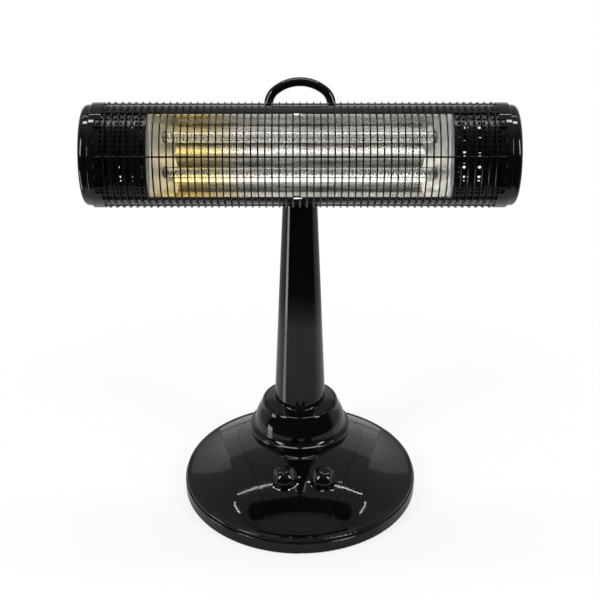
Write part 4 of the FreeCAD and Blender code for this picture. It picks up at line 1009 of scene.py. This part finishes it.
@dataclass
class LeadWires:
    """Sleeved leads in the ends of the head, behind the perforations.

    Attributes:
        radius: radius of a sleeve.
        paths: route of each lead at the right end, as five control points in the head's frame. The left end
            has them mirrored.
        bundle: route of each thicker lead, at the left end alone.
        bundle_radius: radius of a thicker lead's sleeve.
        rounding: Blender's bevel resolution of a sleeve.
        steps: stretches that each part of a route is divided into.
    """

    radius: float = 0.0024
    paths: Sequence[Sequence[Triple]] = (
        ((0.184, -0.004, 0.020), (0.192, 0.006, 0.022), (0.202, 0.016, 0.017), (0.214, 0.012, 0.012),
         (0.219, -0.010, 0.006)),
        ((0.176, 0.014, 0.006), (0.188, 0.020, 0.009), (0.198, 0.021, 0.004), (0.210, 0.016, 0.007),
         (0.219, 0.000, 0.002)),
        ((0.184, -0.004, -0.020), (0.194, 0.008, -0.016), (0.203, 0.018, -0.006), (0.212, 0.012, -0.002),
         (0.219, -0.008, -0.002)),
        ((0.174, 0.012, 0.013), (0.184, 0.022, 0.016), (0.196, 0.024, 0.012), (0.206, 0.022, 0.0145),
         (0.219, 0.008, 0.010)),
    )
    bundle: Sequence[Sequence[Triple]] = (
        ((-0.1980, 0.014, 0.036), (-0.2005, 0.018, 0.018), (-0.1970, 0.019, 0.002), (-0.2000, 0.018, -0.012),
         (-0.1955, 0.014, -0.032)),
        ((-0.1810, 0.014, 0.036), (-0.1825, 0.018, 0.016), (-0.1800, 0.019, 0.000), (-0.1840, 0.018, -0.018),
         (-0.1805, 0.012, -0.034)),
    )
    bundle_radius: float = 0.0036
    rounding: int = 2
    steps: int = 6

    def build(self, head: HeadPlace) -> None:
        """Lay the leads in both ends.

        Args:
            head: the head's frame.
        """
        for side, word in ((-1, "left"), (1, "right")):
            paths = [[(x * side, y, z) for x, y, z in path] for path in self.paths]
            wires = [self.wire(path, self.radius) for path in paths]
            if side < 0:
                wires += [self.wire(path, self.bundle_radius) for path in self.bundle]
            piece = settle(join(wires), f"{word}_lead_wires", head.frame, smooth_degrees=60)
            enlist(piece, Body.HEAD, Slot.RUBBER)

    def wire(self, points: Sequence[Triple], radius: float) -> bpy.types.Object:
        """One sleeved lead along five control points, as a mesh.

        Args:
            points: its control points.
            radius: radius of its sleeve.

        Returns:
            The lead.
        """
        clear_selection()
        bpy.ops.curve.primitive_nurbs_path_add(location=(0, 0, 0))
        path = bpy.context.object
        for knot, place in zip(path.data.splines[0].points, points):
            knot.co = (*place, 1.0)
        path.data.bevel_depth = radius
        path.data.bevel_resolution = self.rounding
        path.data.resolution_u = self.steps
        path.data.use_fill_caps = True
        bpy.ops.object.convert(target="MESH")
        return bpy.context.object


@dataclass
class ReflectorClip:
    """A small bent clip that holds the guard's edge to the reflector's lip.

    Attributes:
        name: the clip's name.
        place: its middle in the head's frame.
        size: its width, depth and thickness.
        lip: how far its bent end reaches.
        lean: how far the bent end leans out, as a share of the thickness.
        edge: radius of its edges.
        edge_steps: flats that round an edge.
    """

    name: str
    place: Triple
    size: Triple = (0.0095, 0.0075, 0.0009)
    lip: float = 0.0026
    lean: float = 0.4
    edge: float = 0.00022
    edge_steps: int = 2

    def build(self, head: HeadPlace) -> None:
        """Bend the clip and seat it.

        Args:
            head: the head's frame.
        """
        clear_selection()
        bpy.ops.mesh.primitive_cube_add(size=1, location=(0, 0, 0))
        clip = bpy.context.object
        clip.scale = self.size
        bpy.ops.object.transform_apply(location=False, rotation=False, scale=True)
        inwards = -1.0 if self.place[2] > 0 else 1.0
        bpy.ops.object.mode_set(mode="EDIT")
        bpy.ops.mesh.select_all(action="DESELECT")
        bpy.ops.object.mode_set(mode="OBJECT")
        front = max(clip.data.polygons, key=lambda face: face.center.y)
        front.select = True
        bpy.ops.object.mode_set(mode="EDIT")
        bpy.ops.mesh.select_mode(type="FACE")
        bpy.ops.mesh.extrude_region_move(TRANSFORM_OT_translate={"value": (0, self.size[2], 0)})
        bpy.ops.mesh.extrude_region_move(
            TRANSFORM_OT_translate={"value": (0, self.size[2] * self.lean, self.lip * inwards)})
        face_outwards(clip)
        apply_modifier(clip, "BEVEL", width=self.edge, segments=self.edge_steps)
        settle(clip, self.name, head.frame @ Matrix.Translation(self.place))
        enlist(clip, Body.HEAD, Slot.REFLECTOR)


@dataclass
class Bell:
    """The bell-shaped collar round the foot of the post, turned as one smooth skin.

    Attributes:
        outline_mm: radius and depth under its top, from the flange up over the lip and down inside.
        seat_drop_mm: points deeper than this are laid on the dome.
        seat_gap: clearance over the dome.
        sides: sides of its rings.
        merge: distance within which the first and the last ring are one.
    """

    outline_mm: Outline = (
        (56.0, 38.4), (65.5, 38.4), (65.5, 37.4), (65.2, 37.0),
        Bend((61.1, 36.2), (59.5, 33.3), (59.5, 31.2), 7),
        Bend((58.2, 17.5), (51.3, 9.9), (49.6, 2.8), 10),
        Bend((49.5, 1.6), (48.0, 0.0), (46.7, 0.0), 5),
        Bend((46.2, 0.0), (46.0, 0.6), (46.0, 1.0), 2),
        (46.0, 9.0), (48.5, 20.0), (51.0, 31.0), (56.0, 38.4))
    seat_drop_mm: float = 38.0
    seat_gap: float = 0.0003
    sides: int = 128
    merge: float = 1e-6

    def build(self, dome: Dome) -> None:
        """Turn the collar and seat it where the plain one stands.

        Args:
            dome: the dome that its flange follows.
        """
        low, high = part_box("collar")
        bell = lathe([(radius, -drop) for radius, drop in trace(self.outline_mm)], self.sides, closed=False)
        face_outwards(bell, self.merge)
        top = Vector(((low.x + high.x) / 2, (low.y + high.y) / 2, high.z))
        settle(bell, "collar_bell", Matrix.Translation(top), smooth_degrees=40)
        reach = dome.radius + self.seat_gap
        for vertex in bell.data.vertices:
            if vertex.co.z < top.z - self.seat_drop_mm * MM:
                out = vertex.co - dome.centre
                vertex.co.z = dome.centre.z + math.sqrt(reach ** 2 - out.x ** 2 - out.y ** 2)
        enlist(bell, Body.BASE, Slot.GLOSS, stands_for=("collar",))


@dataclass
class Knob:
    """A domed knob with a finger scoop on either side of its rib.

    Attributes:
        name: the knob's name.
        node: the plain knob that it stands for.
        body: the dial that it rides on.
        turn: how far its rib is turned at rest, in degrees.
        outline_mm: radius and height of its form.
        scoop_mm: radius of a scoop, and its axis out and up.
        scoop_length: length of the cutter that makes it.
        edge: radius of the edges beside a scoop.
        edge_steps: flats that round an edge.
        edge_angle: least angle of an edge that is rounded, in radians.
        sides: sides of its rings.
        scoop_sides: sides of a scoop's full circle.
    """

    name: str
    node: str
    body: Body
    turn: float
    outline_mm: Outline = (
        (15.4, 0.6), Bend((16.2, 0.6), (16.3, 1.6), (16.3, 2.6), 3),
        Bend((16.3, 8.0), (10.2, 14.95), (6.0, 15.15), 10), (4.0, 15.2), (1.0, 15.2))
    scoop_mm: Triple = (12.0, 18.8, 16.5)
    scoop_length: float = 0.05
    edge: float = 0.0007
    edge_steps: int = 3
    edge_angle: float = 0.4
    sides: int = 72
    scoop_sides: int = 96

    def build(self, dome: Dome, joint: Dict[str, Any]) -> None:
        """Turn the knob, scoop its sides and seat it.

        Args:
            dome: the dome that it stands on.
            joint: the knob's joint.
        """
        knob = lathe(trace(self.outline_mm), self.sides)
        radius, out, up = (size * MM for size in self.scoop_mm)
        for side in (-1, 1):
            clear_selection()
            bpy.ops.mesh.primitive_cylinder_add(vertices=self.scoop_sides, radius=radius,
                                                depth=self.scoop_length, location=(out * side, 0, up),
                                                rotation=(math.pi / 2, 0, 0))
            cutter = bpy.context.object
            apply_modifier(knob, "BOOLEAN", operation="DIFFERENCE", object=cutter, solver="EXACT")
            bpy.data.objects.remove(cutter)
        apply_modifier(knob, "BEVEL", width=self.edge, segments=self.edge_steps, limit_method="ANGLE",
                       angle_limit=self.edge_angle)
        turned = Matrix.Rotation(math.radians(self.turn), 4, "Z")
        settle(knob, self.name, dome.frame(joint) @ turned, smooth_degrees=40)
        enlist(knob, self.body, Slot.GLOSS, stands_for=(self.node,))


def joint_of(frame: Dict[str, Any], name: str) -> Dict[str, Any]:
    """The frame's joint of that name."""
    return next(joint for joint in frame["joints"] if joint["name"] == name)


@dataclass
class Base:
    """What is added to the base: the collar's smooth skin, the knobs and the printed scales.

    Attributes:
        bell: the collar.
        timer: the left knob.
        selector: the right knob.
        timer_scale: the marks round the timer knob.
        selector_scale: the numbers round the selector knob.
    """

    bell: Bell = field(default_factory=Bell)
    timer: Knob = field(default_factory=lambda: Knob("timer_grip", "timer_knob", Body.TIMER, 5))
    selector: Knob = field(default_factory=lambda: Knob(
        "selector_grip", "selector_knob", Body.SELECTOR, -10))
    timer_scale: DialPrint = field(default_factory=lambda: DialPrint(
        "timer_scale", circle=0.0188, dots=(222, 250, 288, 330, 5), arcs=((227, 244), (294, 323))))
    selector_scale: DialPrint = field(default_factory=lambda: DialPrint(
        "selector_scale", circle=0.0175, words=(
            ("0", 220), ("300", 267), ("600", 304), ("900", 334), ("1200", 355))))

    def build(self, frame: Dict[str, Any]) -> None:
        """Make every piece.

        Args:
            frame: the loaded frame.
        """
        timer, selector = joint_of(frame, "timer_turn"), joint_of(frame, "selector_turn")
        dome = Dome.under((timer, selector))
        self.bell.build(dome)
        self.timer.build(dome, timer)
        self.selector.build(dome, selector)
        self.timer_scale.build(dome, timer)
        self.selector_scale.build(dome, selector)


@dataclass
class Head:
    """What is added to the head: filaments, leads and clips.

    Attributes:
        filaments: the wound filaments.
        leads: the leads in its ends.
        clips: the clips at the window.
    """

    filaments: Sequence[Filament] = (
        Filament("upper_filament", "upper_carbon_element"),
        Filament("lower_filament", "lower_carbon_element"),
    )
    leads: LeadWires = field(default_factory=LeadWires)
    clips: Sequence[ReflectorClip] = (
        ReflectorClip("upper_clip", (-0.003, 0.030, 0.0462)),
        ReflectorClip("lower_clip", (-0.003, 0.030, -0.0462)),
    )

    def build(self) -> None:
        """Make every piece."""
        place = HeadPlace.at_rest()
        for filament in self.filaments:
            filament.build()
        self.leads.build(place)
        for clip in self.clips:
            clip.build(place)


def dress_nodes(frame: Dict[str, Any]) -> None:
    """Give every CAD node its own finish, or the finish of its slot.

    Args:
        frame: the loaded frame.
    """
    for part in frame["record"]["subparts"]:
        finish = FINISH_OF_NODE.get(part["node"], FINISH_OF[Slot(part["material_slot"])])
        coat(frame["nodes"][part["node"]], finish)


def main() -> None:
    """Build the scene piece by piece."""
    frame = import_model()
    dress_nodes(frame)
    Base().build(frame)
    Head().build()
    Studio().build()


if __name__ == "__main__":
    main()
